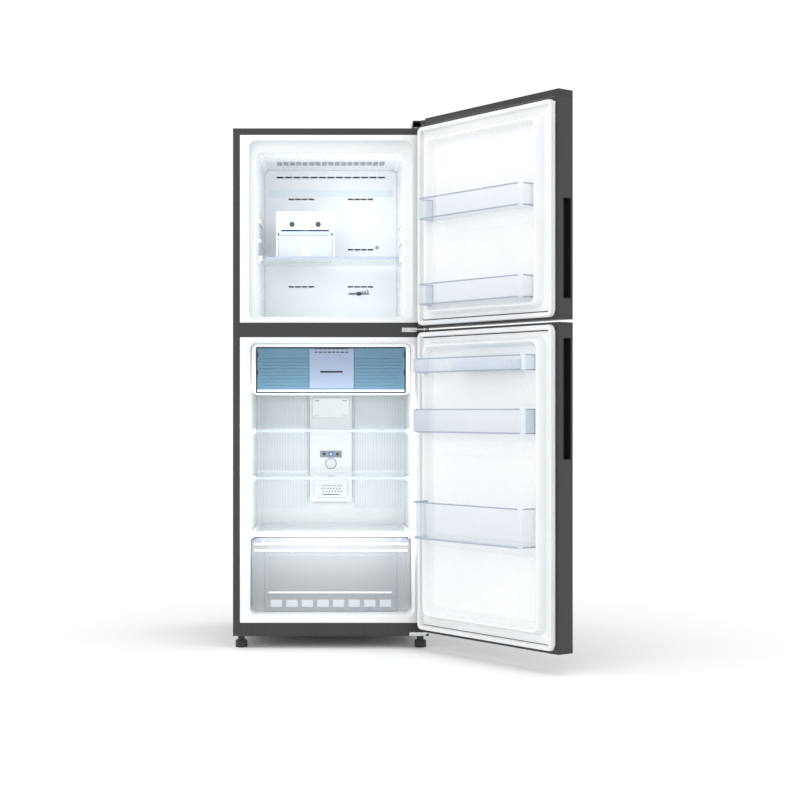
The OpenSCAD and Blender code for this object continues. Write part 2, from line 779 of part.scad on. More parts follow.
module top_hinge() {
    color(zinc) on_cabinet() difference() {
        union() {
            block(cover_x0 + 3, cover_x1 - 3, 0, 70, cab_top, cab_top + hinge_plate);
            block(hinge_x - 7, hinge_x + 5, hinge_y, 1, cab_top, cab_top + hinge_plate);
            rod_z(hinge_x, hinge_y, cab_top, cab_top + hinge_plate, 10);
            rod_z(hinge_x, hinge_y, notch_floor - pin_len, cab_top, pin_r);
        }
        for (y = hinge_screw_y) rod_z(hinge_x - 12, y, cab_top - 1, cab_top + 9, 2.6);
    }
}

module top_hinge_cover() {
    z1 = cab_top + 20;
    inner = cab_top + hinge_plate + 5;
    color(black_abs) on_cabinet() difference() {
        union() {
            block(cover_x0, cover_x1, -8, 76, cab_top, z1);
            rod_z(hinge_x, hinge_y, cab_top + hinge_plate + play, z1 - 5, 13);
            block(hinge_x - 13, cover_x1, hinge_y, 0, cab_top + hinge_plate + play, z1 - 5);
        }
        block(cover_x0 + 2, cover_x1 - 2, -20, 74, cab_top - 1, inner + 8);
        block(hinge_x - 10, hinge_x + 6, hinge_y - 6, 0, cab_top - 1, inner + 2);
    }
}

// Middle hinge: plate on the rail, an arm between the doors, and a pin up and down.
mid_hw = 21;
mid_x = hinge_x - 42;
mid_arm = 3;
mid_screws = [-13, 1];

module middle_hinge() {
    z0 = mullion_mid - mid_arm / 2;
    color(zinc) on_cabinet() difference() {
        union() {
            block(mid_x - mid_hw, mid_x + mid_hw, -3, 0, mullion_mid - 6, mullion_mid + 6);
            block(mid_x + 8, hinge_x + 6, hinge_y - 6, -2, z0, z0 + mid_arm);
            rod_z(hinge_x, hinge_y, z0 - 1.5, z0 + mid_arm + 1.5, pin_r + 3);
            rod_z(hinge_x, hinge_y, rfd_top - pin_len, fzd_bot + pin_len, pin_r);
        }
        for (x = mid_screws) rod_y(mid_x + x, -9, 1, mullion_mid, 2.6);
    }
}

bot_x0 = hinge_x - 42;
bot_z = rfd_bot - 7;

module bottom_hinge() {
    color(zinc) on_cabinet() difference() {
        union() {
            block(bot_x0, hinge_x + 4, -3, 0, base_gap + 1, bot_z + 4);
            block(bot_x0, hinge_x + 8, hinge_y - 10, -2, bot_z, bot_z + 4);
            rod_z(hinge_x, hinge_y, bot_z + 3, rfd_bot - 1, pin_r + 3);
            rod_z(hinge_x, hinge_y, bot_z, rfd_bot + pin_len, pin_r);
        }
        for (x = [12, 32]) rod_y(bot_x0 + x, -9, 1, base_gap + 7, 2.6);
    }
}

module hinge_screws() {
    color(zinc) on_cabinet() {
        for (y = hinge_screw_y) translate([hinge_x - 12, y, cab_top + hinge_plate]) screw(hinge_plate);
        for (x = mid_screws) translate([mid_x + x, -3, mullion_mid]) rotate([90, 0, 0]) screw(3);
        for (x = [12, 32]) translate([bot_x0 + x, -3, base_gap + 7]) rotate([90, 0, 0]) screw(3);
    }
}

// ---- feet and rollers ----

module foot(s) {
    color(rubber) on_cabinet() {
        rod_z(s * foot_x, foot_y, 0, foot_pad_h, foot_r);
        rod_z(s * foot_x, foot_y, foot_pad_h, base_gap - slide_gap, foot_r - 7);
        rod_z(s * foot_x, foot_y, base_gap - slide_gap, base_gap + 28, stem_r);
    }
}

module foot_left() { foot(-1); }
module foot_right() { foot(1); }

module roller_axles() {
    color(zinc) on_cabinet() for (s = [-1, 1]) {
        reach = roller_w / 2 + slide_gap + cheek_t;
        rod_x(s * roller_x - reach, s * roller_x + reach, roller_y, roller_r, axle_r);
    }
}

module roller(s) {
    x = s * roller_x;
    color(rubber) on_cabinet() difference() {
        rod_x(x - roller_w / 2, x + roller_w / 2, roller_y, roller_r, roller_r);
        rod_x(x - roller_w, x + roller_w, roller_y, roller_r, axle_r + 0.3);
    }
}

module roller_left() { roller(-1); }
module roller_right() { roller(1); }

// ---- doors, drawn shut ----

// The grip is let into the door's free side, from z0 up by h.
module grip_block(z0, h, t) {
    y0 = door_out + grip_from_out - t;
    y1 = door_out + grip_from_out + grip_w + t;
    block(-half_w - 1, -half_w + grip_deep + t, y0, y1, z0 - t, z0 + h + t);
}

// The corner of the freezer door that the top hinge's pin turns in.
module hinge_block() {
    block(half_w - notch_len, half_w + 1, door_out - 1, door_in + 1,
        notch_floor - hinge_block_h, fzd_top + 1);
}

module door_skin(z0, z1, grip_z, grip_h) {
    color(steel_dark) on_door() difference() {
        block(-half_w, half_w, door_out, door_in, z0, z1);
        block(-half_w + sheet, half_w - sheet, door_out + sheet, door_in - sheet, z0 - 1, z1 + 1);
        block(-half_w + hem, half_w - hem, door_out + sheet, door_in + 1, z0 - 1, z1 + 1);
        grip_block(grip_z, grip_h, grip_wall);
        hinge_block();
    }
}

module door_liner(z0, z1, dz0, dz1, dyke_hw) {
    color(white_abs) on_door() {
        difference() {
            block(-half_w + hem, half_w - hem, door_in - liner_t, door_in, z0, z1);
            hinge_block();
        }
        difference() {
            hull() {
                slab(door_in, door_in + 1) rrect(dyke_hw, dz0, dz1, 22);
                slab(door_in + dyke_h - 1, door_in + dyke_h)
                    rrect(dyke_hw - dyke_slope, dz0 + dyke_slope, dz1 - dyke_slope, 16);
            }
            slab(door_in - 1, door_in + dyke_h + 1) rrect(dyke_hw - dyke_wall, dz0 + dyke_wall, dz1 - dyke_wall, 12);
        }
    }
}

module door_foam(z0, z1, grip_z, grip_h) {
    color(foam_tan) on_door() difference() {
        block(-half_w + sheet, half_w - sheet, door_out + sheet, door_in - liner_t, z0, z1);
        grip_block(grip_z, grip_h, grip_wall);
        hinge_block();
    }
}

module grip(z0, h) {
    y0 = door_out + grip_from_out;
    difference() {
        block(-half_w, -half_w + grip_deep + grip_wall, y0 - grip_wall, y0 + grip_w + grip_wall,
            z0 - grip_wall, z0 + h + grip_wall);
        block(-half_w - 1, -half_w + grip_deep, y0, y0 + grip_w, z0, z0 + h);
    }
}

module seal(z0, z1) {
    hw = half_w - hem - 1;
    color("#e9ebec") on_door() difference() {
        block(-hw, hw, door_in, -seal_gap, z0, z1);
        block(-hw + seal_w, hw - seal_w, door_in - 1, 1, z0 + seal_w, z1 - seal_w);
    }
}

fz_dyke_hw = fz_rec_hw - dyke_gap;
rf_dyke_hw = rf_rec_hw - dyke_gap + 2;

module freezer_door_skin() { door_skin(fzd_bot + cap_bot, fzd_top - cap_top, fz_grip_z, freezer_grip_h); }
module freezer_door_foam() { door_foam(fzd_bot + cap_bot, fzd_top - cap_top, fz_grip_z, freezer_grip_h); }
module freezer_door_liner() {
    door_liner(fzd_bot + cap_bot, fzd_top - cap_top, fz_rec_z0 + dyke_gap, fz_rec_z1 - dyke_gap, fz_dyke_hw);
}
module freezer_gasket() { seal(fz_open_bot - seal_w + 2, fz_open_top + seal_w - 2); }

module freezer_door_trim() {
    color(black_abs) on_door() {
        difference() {
            union() {
                block(-half_w, half_w, door_out, door_in, notch_floor, fzd_top);
                block(half_w - notch_len, half_w, door_out, door_in,
                    notch_floor - hinge_block_h, notch_floor);
            }
            block(half_w - notch_len, half_w + 1, door_out - 1, door_in + 1, notch_floor, fzd_top + 1);
            rod_z(hinge_x, hinge_y, notch_floor - pin_len - 1, fzd_top, pin_r + play);
        }
        difference() {
            block(-half_w, half_w, door_out, door_in, fzd_bot, fzd_bot + cap_bot);
            rod_z(hinge_x, hinge_y, fzd_bot - 1, fzd_bot + cap_bot + 1, pin_r + play);
        }
        grip(fz_grip_z, freezer_grip_h);
    }
}

module fridge_door_skin() { door_skin(rfd_bot + cap_bot, rfd_top - cap_bot, rf_grip_z, fridge_grip_h); }
module fridge_door_foam() { door_foam(rfd_bot + cap_bot, rfd_top - cap_bot, rf_grip_z, fridge_grip_h); }
module fridge_door_liner() {
    door_liner(rfd_bot + cap_bot, rfd_top - cap_bot, rf_rec_z0 + dyke_gap, rf_rec_z1 - dyke_gap, rf_dyke_hw);
}
module fridge_gasket() { seal(rf_open_bot - seal_w + 2, rf_open_top + seal_w - 2); }

module fridge_door_trim() {
    color(black_abs) on_door() {
        for (z = [rfd_bot, rfd_top - cap_bot]) difference() {
            block(-half_w, half_w, door_out, door_in, z, z + cap_bot);
            rod_z(hinge_x, hinge_y, z - 1, z + cap_bot + 1, pin_r + play);
        }
        grip(rf_grip_z, fridge_grip_h);
    }
}

// A clear shelf that hangs on the door's liner, open at the top.
module pocket(hw, out, z, h) {
    difference() {
        block(-hw, hw, door_in, door_in + out, z, z + h);
        block(-hw + pocket_wall, hw - pocket_wall, door_in + pocket_wall, door_in + out - pocket_wall,
            z + pocket_wall, z + h + 1);
    }
}

module freezer_pockets() {
    color(clear_ps) on_door() for (z = fz_pocket_z) pocket(fz_pocket_hw, freezer_pocket_out, z, fz_pocket_h);
}

module fridge_pockets() {
    color(clear_ps) on_door() for (i = [0:2])
        pocket(rf_pocket_hw, fridge_pocket_out - (i == 0 ? 0 : 8), rf_pocket_z[i], rf_pocket_h[i]);
}

module egg_tray() {
    z = rf_pocket_z[2] + pocket_wall;
    color(white_abs) on_door() difference() {
        block(-160, 60, door_in + 8, door_in + fridge_pocket_out - 16, z, z + 26);
        for (i = [0:4]) translate([-138 + i * 44, door_in + 34, z + 30]) sphere(19);
    }
}

cabinet_shell();
back_panel();
base_pan();
compressor_deck();
cabinet_foam();
freezer_liner();
fridge_liner();
mullion_cover();
plinth_cover();
freezer_air_panel();
fridge_duct_cover();
lamp_cover();
vent_cover();
evaporator();
defrost_heater();
fan_motor();
compressor();
compressor_mounts();
refrigerant_pipes();
evaporating_tray();
compressor_cover();
mains_inlet();
top_hinge();
top_hinge_cover();
middle_hinge();
bottom_hinge();
hinge_screws();
freezer_shelf();
fridge_shelves();
shelf_trims();
crisper_cover();
crisper_glass();
chiller_frame();
ice_maker_frame();
roller_axles();
fan_blade();
ice_tray_left();
ice_tray_right();
ice_box();
crisper_drawer();
chiller_drawer();
temperature_dial();
airflow_slider();
foot_left();
foot_right();
roller_left();
roller_right();
freezer_door_skin();
freezer_door_liner();
freezer_door_foam();
freezer_door_trim();
freezer_gasket();
freezer_pockets();
fridge_door_skin();
fridge_door_liner();
fridge_door_foam();
fridge_door_trim();
fridge_gasket();
fridge_pockets();
egg_tray();
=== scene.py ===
# %% [markdown]
# # A two-door refrigerator with the freezer on top
#
# The refrigerator stands with both doors open. Its frame, hinges, drawers and
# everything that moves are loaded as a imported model. This lesson gives each of
# those pieces its rounded edges and its real finish, and models again the pieces
# that a flat drawing can't show: the vacuum-formed door liners, the clear door
# shelves, the vegetable drawer and the tinted flap of the chilled compartment.

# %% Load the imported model
import json
import math

import bmesh
import bpy
from mathutils import Matrix, Vector


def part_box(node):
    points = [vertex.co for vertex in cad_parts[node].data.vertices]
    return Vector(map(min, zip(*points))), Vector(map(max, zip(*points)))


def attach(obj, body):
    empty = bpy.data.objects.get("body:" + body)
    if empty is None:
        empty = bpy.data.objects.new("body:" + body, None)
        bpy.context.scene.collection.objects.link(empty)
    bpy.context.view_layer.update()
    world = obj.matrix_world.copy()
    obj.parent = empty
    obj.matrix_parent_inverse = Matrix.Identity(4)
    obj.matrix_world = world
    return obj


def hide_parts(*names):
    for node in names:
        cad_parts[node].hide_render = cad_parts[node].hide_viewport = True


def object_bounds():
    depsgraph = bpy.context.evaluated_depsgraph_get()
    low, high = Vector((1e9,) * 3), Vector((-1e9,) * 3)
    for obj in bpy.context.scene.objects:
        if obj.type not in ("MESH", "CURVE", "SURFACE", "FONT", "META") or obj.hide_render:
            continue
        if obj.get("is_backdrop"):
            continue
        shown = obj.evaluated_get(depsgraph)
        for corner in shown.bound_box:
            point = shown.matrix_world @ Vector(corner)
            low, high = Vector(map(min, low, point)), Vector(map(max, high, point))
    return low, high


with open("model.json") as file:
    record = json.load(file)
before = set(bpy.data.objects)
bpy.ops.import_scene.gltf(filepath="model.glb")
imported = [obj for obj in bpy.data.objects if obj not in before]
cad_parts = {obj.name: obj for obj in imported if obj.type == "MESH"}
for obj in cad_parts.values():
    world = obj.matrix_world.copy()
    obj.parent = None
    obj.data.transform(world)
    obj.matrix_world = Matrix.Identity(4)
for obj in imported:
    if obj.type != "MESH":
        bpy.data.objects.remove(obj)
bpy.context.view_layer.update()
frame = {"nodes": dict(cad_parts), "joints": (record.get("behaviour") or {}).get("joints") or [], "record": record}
nodes = frame["nodes"]
MM = 0.001
MERGE = 0.002 * MM  # corners closer than this are one corner

# %% [markdown]
# ## Camera
#
# The camera is level and square to the cabinet, about 4.4 m in front of its rim
# and at the height of the fridge shelves, so upright edges stay upright. Turning
# the camera to take in the open doors would make them lean. A small lens shift
# moves the frame over them instead, and nothing leans.

# %% Camera
rim_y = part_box("cabinet_shell")[0][1]
camera_data = bpy.data.cameras.new("camera")
camera = bpy.data.objects.new("camera", camera_data)
bpy.context.scene.collection.objects.link(camera)
distance, eye_height = 4.407, 0.66
camera.location = (0.0, rim_y - distance, eye_height)
camera.rotation_euler = (math.pi / 2, 0.0, 0.0)
camera_data.lens = 71.26
camera_data.shift_x = 0.0864
camera_data.shift_y = 0.0139
bpy.context.scene.camera = camera
print("camera at", [round(v, 3) for v in camera.location])

# %% [markdown]
# ## Floor and light
#
# A white appliance inside a white room needs light from everywhere and only soft
# shadows. A bright world does most of it, a broad panel left of the camera gives
# the relief a direction, and one above draws the gloss on the shelves. A weak
# panel in each opening, facing in, stands for the light bounced into the
# compartments, which are too deep for the world to reach. The floor is plain matt
# paint, so it takes the shadows and adds no pattern of its own. Each lamp is given
# its place, the point it faces, its width and height in metres and its power.

# %% A helper that turns a hex colour into linear light
def linear(hex_colour):
    """sRGB hex to the linear colour that shaders use."""
    parts = [int(hex_colour[i:i + 2], 16) / 255 for i in (1, 3, 5)]
    out = [p / 12.92 if p <= 0.04045 else ((p + 0.055) / 1.055) ** 2.4 for p in parts]
    return (*out, 1.0)


# %% World, lamps and floor
world = bpy.data.worlds.new("studio")
bpy.context.scene.world = world
world.use_nodes = True
backdrop = world.node_tree.nodes["Background"]
backdrop.inputs["Color"].default_value = linear("#ffffff")
backdrop.inputs["Strength"].default_value = 1.04
bpy.context.scene.view_settings.view_transform = "Standard"


def softbox(name, place, aim, width, height, power):
    """A rectangular area lamp that faces the point aim; sizes in metres, power in watts."""
    data = bpy.data.lights.new(name, "AREA")
    data.shape = "RECTANGLE"
    data.size, data.size_y, data.energy = width, height, power
    lamp = bpy.data.objects.new(name, data)
    lamp.location = place
    lamp.rotation_euler = (Vector(aim) - Vector(place)).to_track_quat("-Z", "Y").to_euler()
    bpy.context.scene.collection.objects.link(lamp)


softbox("key", (-1.8, -4.4, 2.2), (0.1, -0.1, 0.75), 2.4, 2.4, 13)
softbox("top", (0.0, -1.6, 3.4), (0.1, -0.2, 0.8), 3.0, 2.0, 14)
softbox("freezer_fill", (0.0, rim_y + 0.035, 1.15), (0.0, 0.2, 1.15), 0.38, 0.42, 0.7)
softbox("fridge_fill", (0.0, rim_y - 0.03, 0.48), (0.0, 0.2, 0.48), 0.44, 0.44, 1.9)

floor_mesh = bmesh.new()
bmesh.ops.create_grid(floor_mesh, x_segments=1, y_segments=1, size=14.0)
floor_data = bpy.data.meshes.new("floor")
floor_mesh.to_mesh(floor_data)
floor_data.materials.append(bpy.data.materials.new("matt_white_paint"))
floor_data.materials[0].use_nodes = True
paint = floor_data.materials[0].node_tree.nodes["Principled BSDF"]
paint.inputs["Base Color"].default_value = linear("#ffffff")
paint.inputs["Roughness"].default_value = 0.9
floor = bpy.data.objects.new("floor", floor_data)
bpy.context.scene.collection.objects.link(floor)
floor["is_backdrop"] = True

# %% [markdown]
# ## Materials
#
# Each finish starts from the real material. One small function adds a node with
# its settings and links, and another starts a material from the values that are
# the same all over. Patterns read Object coordinates, in metres, so a pattern's
# scale is how many of its cells fit in a metre, and it is worked out from the
# cell's real size in millimetres.

# %% Helpers for materials
def per_metre(size_mm):
    """The scale that gives a pattern cells of this size."""
    return 1000 / size_mm


def node(tree, kind, settings=None, links=None):
    """Adds a node; settings are inputs or properties, links go from sockets to its inputs."""
    made = tree.nodes.new(kind)
    for key, value in (settings or {}).items():
        if key in made.inputs:
            made.inputs[key].default_value = value
        else:
            setattr(made, key, value)
    for key, socket in (links or {}).items():
        tree.links.new(socket, made.inputs[key])
    return made


def material(name, hex_colour, **sockets):
    """A Principled material; sockets are named with underscores for spaces."""
    made = bpy.data.materials.new(name)
    made.use_nodes = True
    shader = made.node_tree.nodes["Principled BSDF"]
    shader.inputs["Base Color"].default_value = linear(hex_colour)
    for key, value in sockets.items():
        shader.inputs[key.replace("_", " ")].default_value = value
    made.diffuse_color = linear(hex_colour)
    return made, made.node_tree, shader


def spot(tree, scale=(1.0, 1.0, 1.0)):
    """Object coordinates, stretched by scale."""
    place = node(tree, "ShaderNodeTexCoord")
    stretch = node(tree, "ShaderNodeMapping", {"Scale": scale}, {"Vector": place.outputs["Object"]})
    return stretch.outputs["Vector"]


def noise(tree, scale, detail, vector=None):
    """Soft cloudy noise from 0 to 1."""
    links = {"Vector": vector or spot(tree)}
    return node(tree, "ShaderNodeTexNoise", {"Scale": scale, "Detail": detail}, links).outputs["Fac"]


def bump(tree, shader, height, strength, depth_mm):
    """Raises the surface by a pattern, up to depth_mm."""
    size = {"Strength": strength, "Distance": depth_mm * MM}
    lift = node(tree, "ShaderNodeBump", size, {"Height": height})
    tree.links.new(lift.outputs["Normal"], shader.inputs["Normal"])


def vary(tree, shader, socket, value, low, high):
    """Spreads a pattern's 0 to 1 over low to high and feeds it to a socket."""
    spread = node(tree, "ShaderNodeMapRange", {"To Min": low, "To Max": high}, {"Value": value})
    tree.links.new(spread.outputs["Result"], shader.inputs[socket])


def tint(tree, shader, value, hex_low, hex_high):
    """Runs the base colour from one hex to another by a pattern."""
    ramp = node(tree, "ShaderNodeValToRGB", {}, {"Fac": value})
    ramp.color_ramp.elements[0].color = linear(hex_low)
    ramp.color_ramp.elements[1].color = linear(hex_high)
    tree.links.new(ramp.outputs["Color"], shader.inputs["Base Color"])


# %% [markdown]
# The outer skin is pre-coated steel with a printed and embossed hairline. The
# hairlines run upright and are drawn here 0.8 mm apart, coarser than the real
# ones, so that they show at all. The coating keeps it from mirroring like bare
# metal: satin, dark and a little metallic. The same noise, as long as it is wide,
# gives the cloudy look of plain sheet.

# %% Hairline steel
def sheet_steel(name, hex_low, hex_high, across_mm, along_mm, rough):
    """Coated sheet with streaks this wide across and this long up."""
    made, tree, shader = material(name, hex_high, Metallic=0.55, Roughness=rough, Coat_Weight=0.15)
    across, upward = per_metre(across_mm), per_metre(along_mm)
    lines = noise(tree, 1.0, 3.0, spot(tree, (across, across, upward)))
    tint(tree, shader, lines, hex_low, hex_high)
    vary(tree, shader, "Roughness", lines, rough - 0.08, rough + 0.1)
    bump(tree, shader, lines, 0.12, 0.2)
    return made


# pre-coated and embossed: dark satin with fine upright lines
dark_steel = sheet_steel("hairline_coated_steel", "#333234", "#454447", 0.8, 111, 0.36)
# plain pre-coated sheet: flat grey, faintly cloudy
back_steel = sheet_steel("plain_coated_steel_back", "#6a6b6d", "#77787a", 16.7, 16.7, 0.5)
# hot-dip galvanised: paler, with the soft spangle of zinc
zinc_steel = sheet_steel("galvanised_sheet", "#8f9294", "#b4b7b9", 11.1, 11.1, 0.42)
print("steels made")

# %% [markdown]
# The liners are vacuum-formed from high-impact polystyrene. The warm sheet comes
# out glossy and very slightly wavy, so a long shallow change of tone goes over a
# tight fine bump. Moulded ABS for trims and covers is the same white with a finer
# skin. A mould's real grain is about 0.1 mm, too fine to show, so grains are drawn
# at 0.7 to 3 mm.

# %% White plastics
TONE_MM = 143  # how far apart the slow changes of tone lie


def moulded(name, hex_low, hex_high, rough, grain_mm, depth_mm, coat=0.1):
    """Opaque plastic whose skin has bumps of this width and depth."""
    made, tree, shader = material(name, hex_high, Roughness=rough, Coat_Weight=coat, IOR=1.53)
    fine, broad = noise(tree, per_metre(grain_mm), 4.0), noise(tree, per_metre(TONE_MM), 2.0)
    tint(tree, shader, broad, hex_low, hex_high)
    vary(tree, shader, "Roughness", fine, rough - 0.05, rough + 0.06)
    bump(tree, shader, fine, 0.15, depth_mm)
    return made


# formed sheet: glossy, with the widest waves
liner_white = moulded("vacuum_formed_polystyrene", "#eceff1", "#f7f9fa", 0.27, 2.4, 0.1, 0.25)
# injection moulded: satin, with a finer skin
trim_white = moulded("moulded_white_abs", "#eef0f2", "#f8f9fa", 0.33, 1.1, 0.1)
cool_white = moulded("moulded_ice_white_abs", "#d9e4ee", "#e6eef5", 0.35, 1.1, 0.1)
panel_white = moulded("air_panel_white_abs", "#e9eef2", "#f4f7f9", 0.4, 1.1, 0.1)
# milky diffuser: almost smooth
lamp_white = moulded("lamp_diffuser_polycarbonate", "#f4f6f6", "#fdfefd", 0.22, 0.67, 0.05)
# black covers and feet: satin
black_plastic = moulded("moulded_black_abs", "#161617", "#222224", 0.42, 0.67, 0.1)
# ink printed with a silicone pad: flat, with hardly any depth; the same grey is also painted as shade along edges,
# in slots and in notches
grey_print_and_shade = moulded("grey_pad_printing_and_painted_shade", "#8c949b", "#a4abb1", 0.5, 1.1, 0.02)
print_blue = moulded("blue_pad_printing", "#2f6fae", "#3b7fc0", 0.45, 1.1, 0.02)
# rubber and seal vinyl: dull, without any coat
black_rubber = moulded("black_rubber", "#1b1b1c", "#29292a", 0.72, 1.43, 0.2, 0.0)
seal_vinyl = moulded("magnetic_seal_vinyl", "#e4e7e9", "#eff1f2", 0.55, 1.67, 0.1, 0.0)
# poured foam: tan, dull and pitted
foam_tan = moulded("polyurethane_foam", "#d3bd82", "#e8d8a6", 0.85, 3.3, 0.6, 0.0)
# flexible tray plastic: waxy blue-grey
tray_blue = moulded("ice_tray_polypropylene", "#8fa3b8", "#a9bbcc", 0.4, 1.1, 0.1)
print("plastics made")

# %% [markdown]
# Clear shelves and drawers are injection-moulded polystyrene. Light goes through
# the flat walls and gathers in the edges, which look blue-grey. Real refraction in
# thin walls costs many samples, so the walls are mostly see-through, and a
# Layer Weight makes them denser where they are seen on edge.

# %% Clear plastics and glass
FLOW_MM = 55.6  # how far apart the waves lie that the flowing plastic leaves


def clear(name, hex_colour, face_alpha, edge_alpha, rough=0.06):
    """See-through plastic that gets denser towards its silhouette."""
    made, tree, shader = material(name, hex_colour, Roughness=rough, IOR=1.5, Coat_Weight=0.3)
    weight = node(tree, "ShaderNodeLayerWeight", {"Blend": 0.35})
    vary(tree, shader, "Alpha", weight.outputs["Facing"], face_alpha, edge_alpha)
    bump(tree, shader, noise(tree, per_metre(FLOW_MM), 2.0), 0.1, 0.4)
    made.surface_render_method = "BLENDED"
    return made


# door shelves: clear walls, and a rim where light gathers
clear_shelf = clear("clear_polystyrene", "#dde3ec", 0.08, 0.62)
clear_rim = clear("clear_polystyrene_rim", "#97a6b9", 0.5, 0.9)
# vegetable drawer: lightly frosted walls, a rim painted darker for the light that gathers in it, and ribs
clear_drawer = clear("clear_polystyrene_drawer", "#eef2f6", 0.16, 0.75, 0.12)
drawer_rim = clear("clear_polystyrene_drawer_rim", "#b9c7d6", 0.5, 0.9, 0.12)
rib_clear = clear("clear_polystyrene_rib", "#f0f4f8", 0.55, 0.85, 0.12)
# toughened sheet: the clearest face, with a greenish edge
shelf_glass = clear("tempered_glass", "#d6e4e6", 0.22, 0.85, 0.03)
# tinted front: blue, with a dark edge painted for the light that gathers in its rim, fine lines painted for the
# refraction in its thin ridges, and a paler pad
tinted_flap = clear("tinted_blue_polystyrene", "#6d97b0", 0.66, 0.9, 0.1)
flap_edge = clear("tinted_blue_edge", "#1f3444", 0.9, 0.97, 0.15)
flap_ridge_refraction = clear("painted_ridge_refraction_on_blue", "#436f8b", 0.4, 0.7, 0.2)
flap_pad = clear("lavender_polystyrene", "#a3b2cc", 0.75, 0.9, 0.2)
# small clips and the ice box: cloudy
tab_violet = clear("violet_grey_polystyrene", "#8b8fb0", 0.8, 0.95, 0.2)
ice_clear = clear("clear_ice_box", "#d3dce6", 0.45, 0.85, 0.12)
print("clear plastics made")

# %% [markdown]
# Small metals: the hinges are zinc-plated steel, bright and a little cloudy, the
# pipes are drawn copper with darker patches, and the compressor is a steel dome
# under thick black enamel.

# %% Small metals
def metal(name, hex_low, hex_high, rough, cloud_mm, metallic=1.0, coat=0.0):
    """Metal whose colour drifts between two tones in clouds of this size."""
    made, tree, shader = material(name, hex_high, Metallic=metallic, Roughness=rough, Coat_Weight=coat)
    cloud = noise(tree, per_metre(cloud_mm), 3.0)
    tint(tree, shader, cloud, hex_low, hex_high)
    vary(tree, shader, "Roughness", cloud, rough - 0.06, rough + 0.1)
    return made


# electroplated: bright, a little cloudy
bright_zinc = metal("zinc_plated_steel", "#b9bcbe", "#dfe1e2", 0.24, 12.5)
# drawn tube, handled and heated: orange with brown patches
copper = metal("drawn_copper", "#8f5637", "#c98258", 0.3, 25)
# thick baked enamel: black and glossy, so it isn't metallic at all
black_enamel = metal("black_enamel_on_steel", "#0f0f10", "#1a1a1b", 0.25, 33.3, 0.0, 0.5)
# thin rolled strip: pale and soft
aluminium_fin = metal("aluminium_fin_stock", "#aeb2b5", "#cfd2d4", 0.35, 16.7)
print("metals made")

# %% [markdown]
# ## Helpers for shapes
#
# A block from its corners is the start of most moulded parts. Rounding is done
# with a bevel on the edges that need it: first the big corner radii of the
# outline, then a small one on the sharp edges, because moulded plastic and folded
# steel never end in a knife edge. A finished piece is shaded smooth up to 35
# degrees, and its normals are weighted by area, so that the big flat faces stay
# flat next to the small rounds.

# %% Shape helpers
def block(mesh, lo, hi):
    """A box from its lowest and highest corners; returns its vertices."""
    made = bmesh.ops.create_cube(mesh, size=1.0)["verts"]
    centre = [(a + b) / 2 for a, b in zip(lo, hi)]
    size = [b - a for a, b in zip(lo, hi)]
    bmesh.ops.scale(mesh, vec=size, verts=made)
    bmesh.ops.translate(mesh, vec=centre, verts=made)
    return made


def round_edges(mesh, edges, radius, segments):
    """Bevels some edges to a round of the given radius."""
    return bmesh.ops.bevel(
        mesh, geom=edges, offset=radius, segments=segments, profile=0.5, affect="EDGES",
        material=-1, clamp_overlap=True)


def along(verts, axis):
    """The edges between these vertices that run along one axis."""
    chosen = {edge for vert in verts for edge in vert.link_edges}
    return [e for e in chosen if abs((e.verts[1].co - e.verts[0].co).normalized()[axis]) > 0.99]


def piece(name, mesh, finish, body, replaces=()):
    """Turns a bmesh into a finished object that rides on a body."""
    mesh.normal_update()
    data = bpy.data.meshes.new(name)
    mesh.to_mesh(data)
    mesh.free()
    data.materials.append(finish)
    made = bpy.data.objects.new(name, data)
    bpy.context.scene.collection.objects.link(made)
    for polygon in data.polygons:
        polygon.use_smooth = True
    data.set_sharp_from_angle(angle=math.radians(35))
    flat = made.modifiers.new("flat_faces_stay_flat", "WEIGHTED_NORMAL")
    flat.keep_sharp = True
    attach(made, body)
    if replaces:
        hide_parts(*replaces)
    print(name, len(data.polygons), "faces")
    return made


# %% [markdown]
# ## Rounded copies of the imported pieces
#
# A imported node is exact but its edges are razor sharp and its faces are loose
# triangles. A copy is merged and its flat faces joined, and then its sharp edges
# get the small radius that the tool or the fold leaves. The copy stands for the
# node, which stays hidden underneath for its motion.

# %% Copy a node with rounded edges
body_of_node = {n: body for body, members in frame["record"]["behaviour"]["bodies"].items() for n in members}


def softened(name, radius, finish):
    """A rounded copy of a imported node, radius in millimetres."""
    mesh = bmesh.new()
    mesh.from_mesh(nodes[name].data)
    bmesh.ops.remove_doubles(mesh, verts=mesh.verts, dist=MERGE)
    bmesh.ops.dissolve_limit(
        mesh, angle_limit=math.radians(1.0), verts=mesh.verts, edges=mesh.edges, delimit={"NORMAL"})
    folds = [e for e in mesh.edges if len(e.link_faces) == 2]
    sharp = [e for e in folds if e.calc_face_angle() > math.radians(40)]
    round_edges(mesh, sharp, radius * MM, 2)
    piece(name + "_rounded", mesh, finish, body_of_node[name], (name,))


# %% [markdown]
# ## Doors
#
# The doors are easiest to model shut and square, and then to turn open about
# their hinge line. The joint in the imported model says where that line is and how
# far the doors stand open at rest.

# %% The turn from shut to open
hinge = next(j for j in frame["joints"] if j["name"] == "freezer_door_hinge")
hinge_at = Vector((hinge["pos_m"][0], hinge["pos_m"][1], 0.0))
open_angle = -math.radians(hinge["range_deg"][0])
swing = Matrix.Rotation(open_angle, 4, "Z")
TO_OPEN = Matrix.Translation(hinge_at) @ swing @ Matrix.Translation(-hinge_at)
TO_SHUT = TO_OPEN.inverted()


def corners(points):
    """Lowest and highest corners of a set of points."""
    return (Vector([min(p[i] for p in points) for i in range(3)]),
            Vector([max(p[i] for p in points) for i in range(3)]))


def shut_box(name):
    """The corners of a door's node, as it is when the door is shut."""
    return corners([TO_SHUT @ v.co for v in nodes[name].data.vertices])


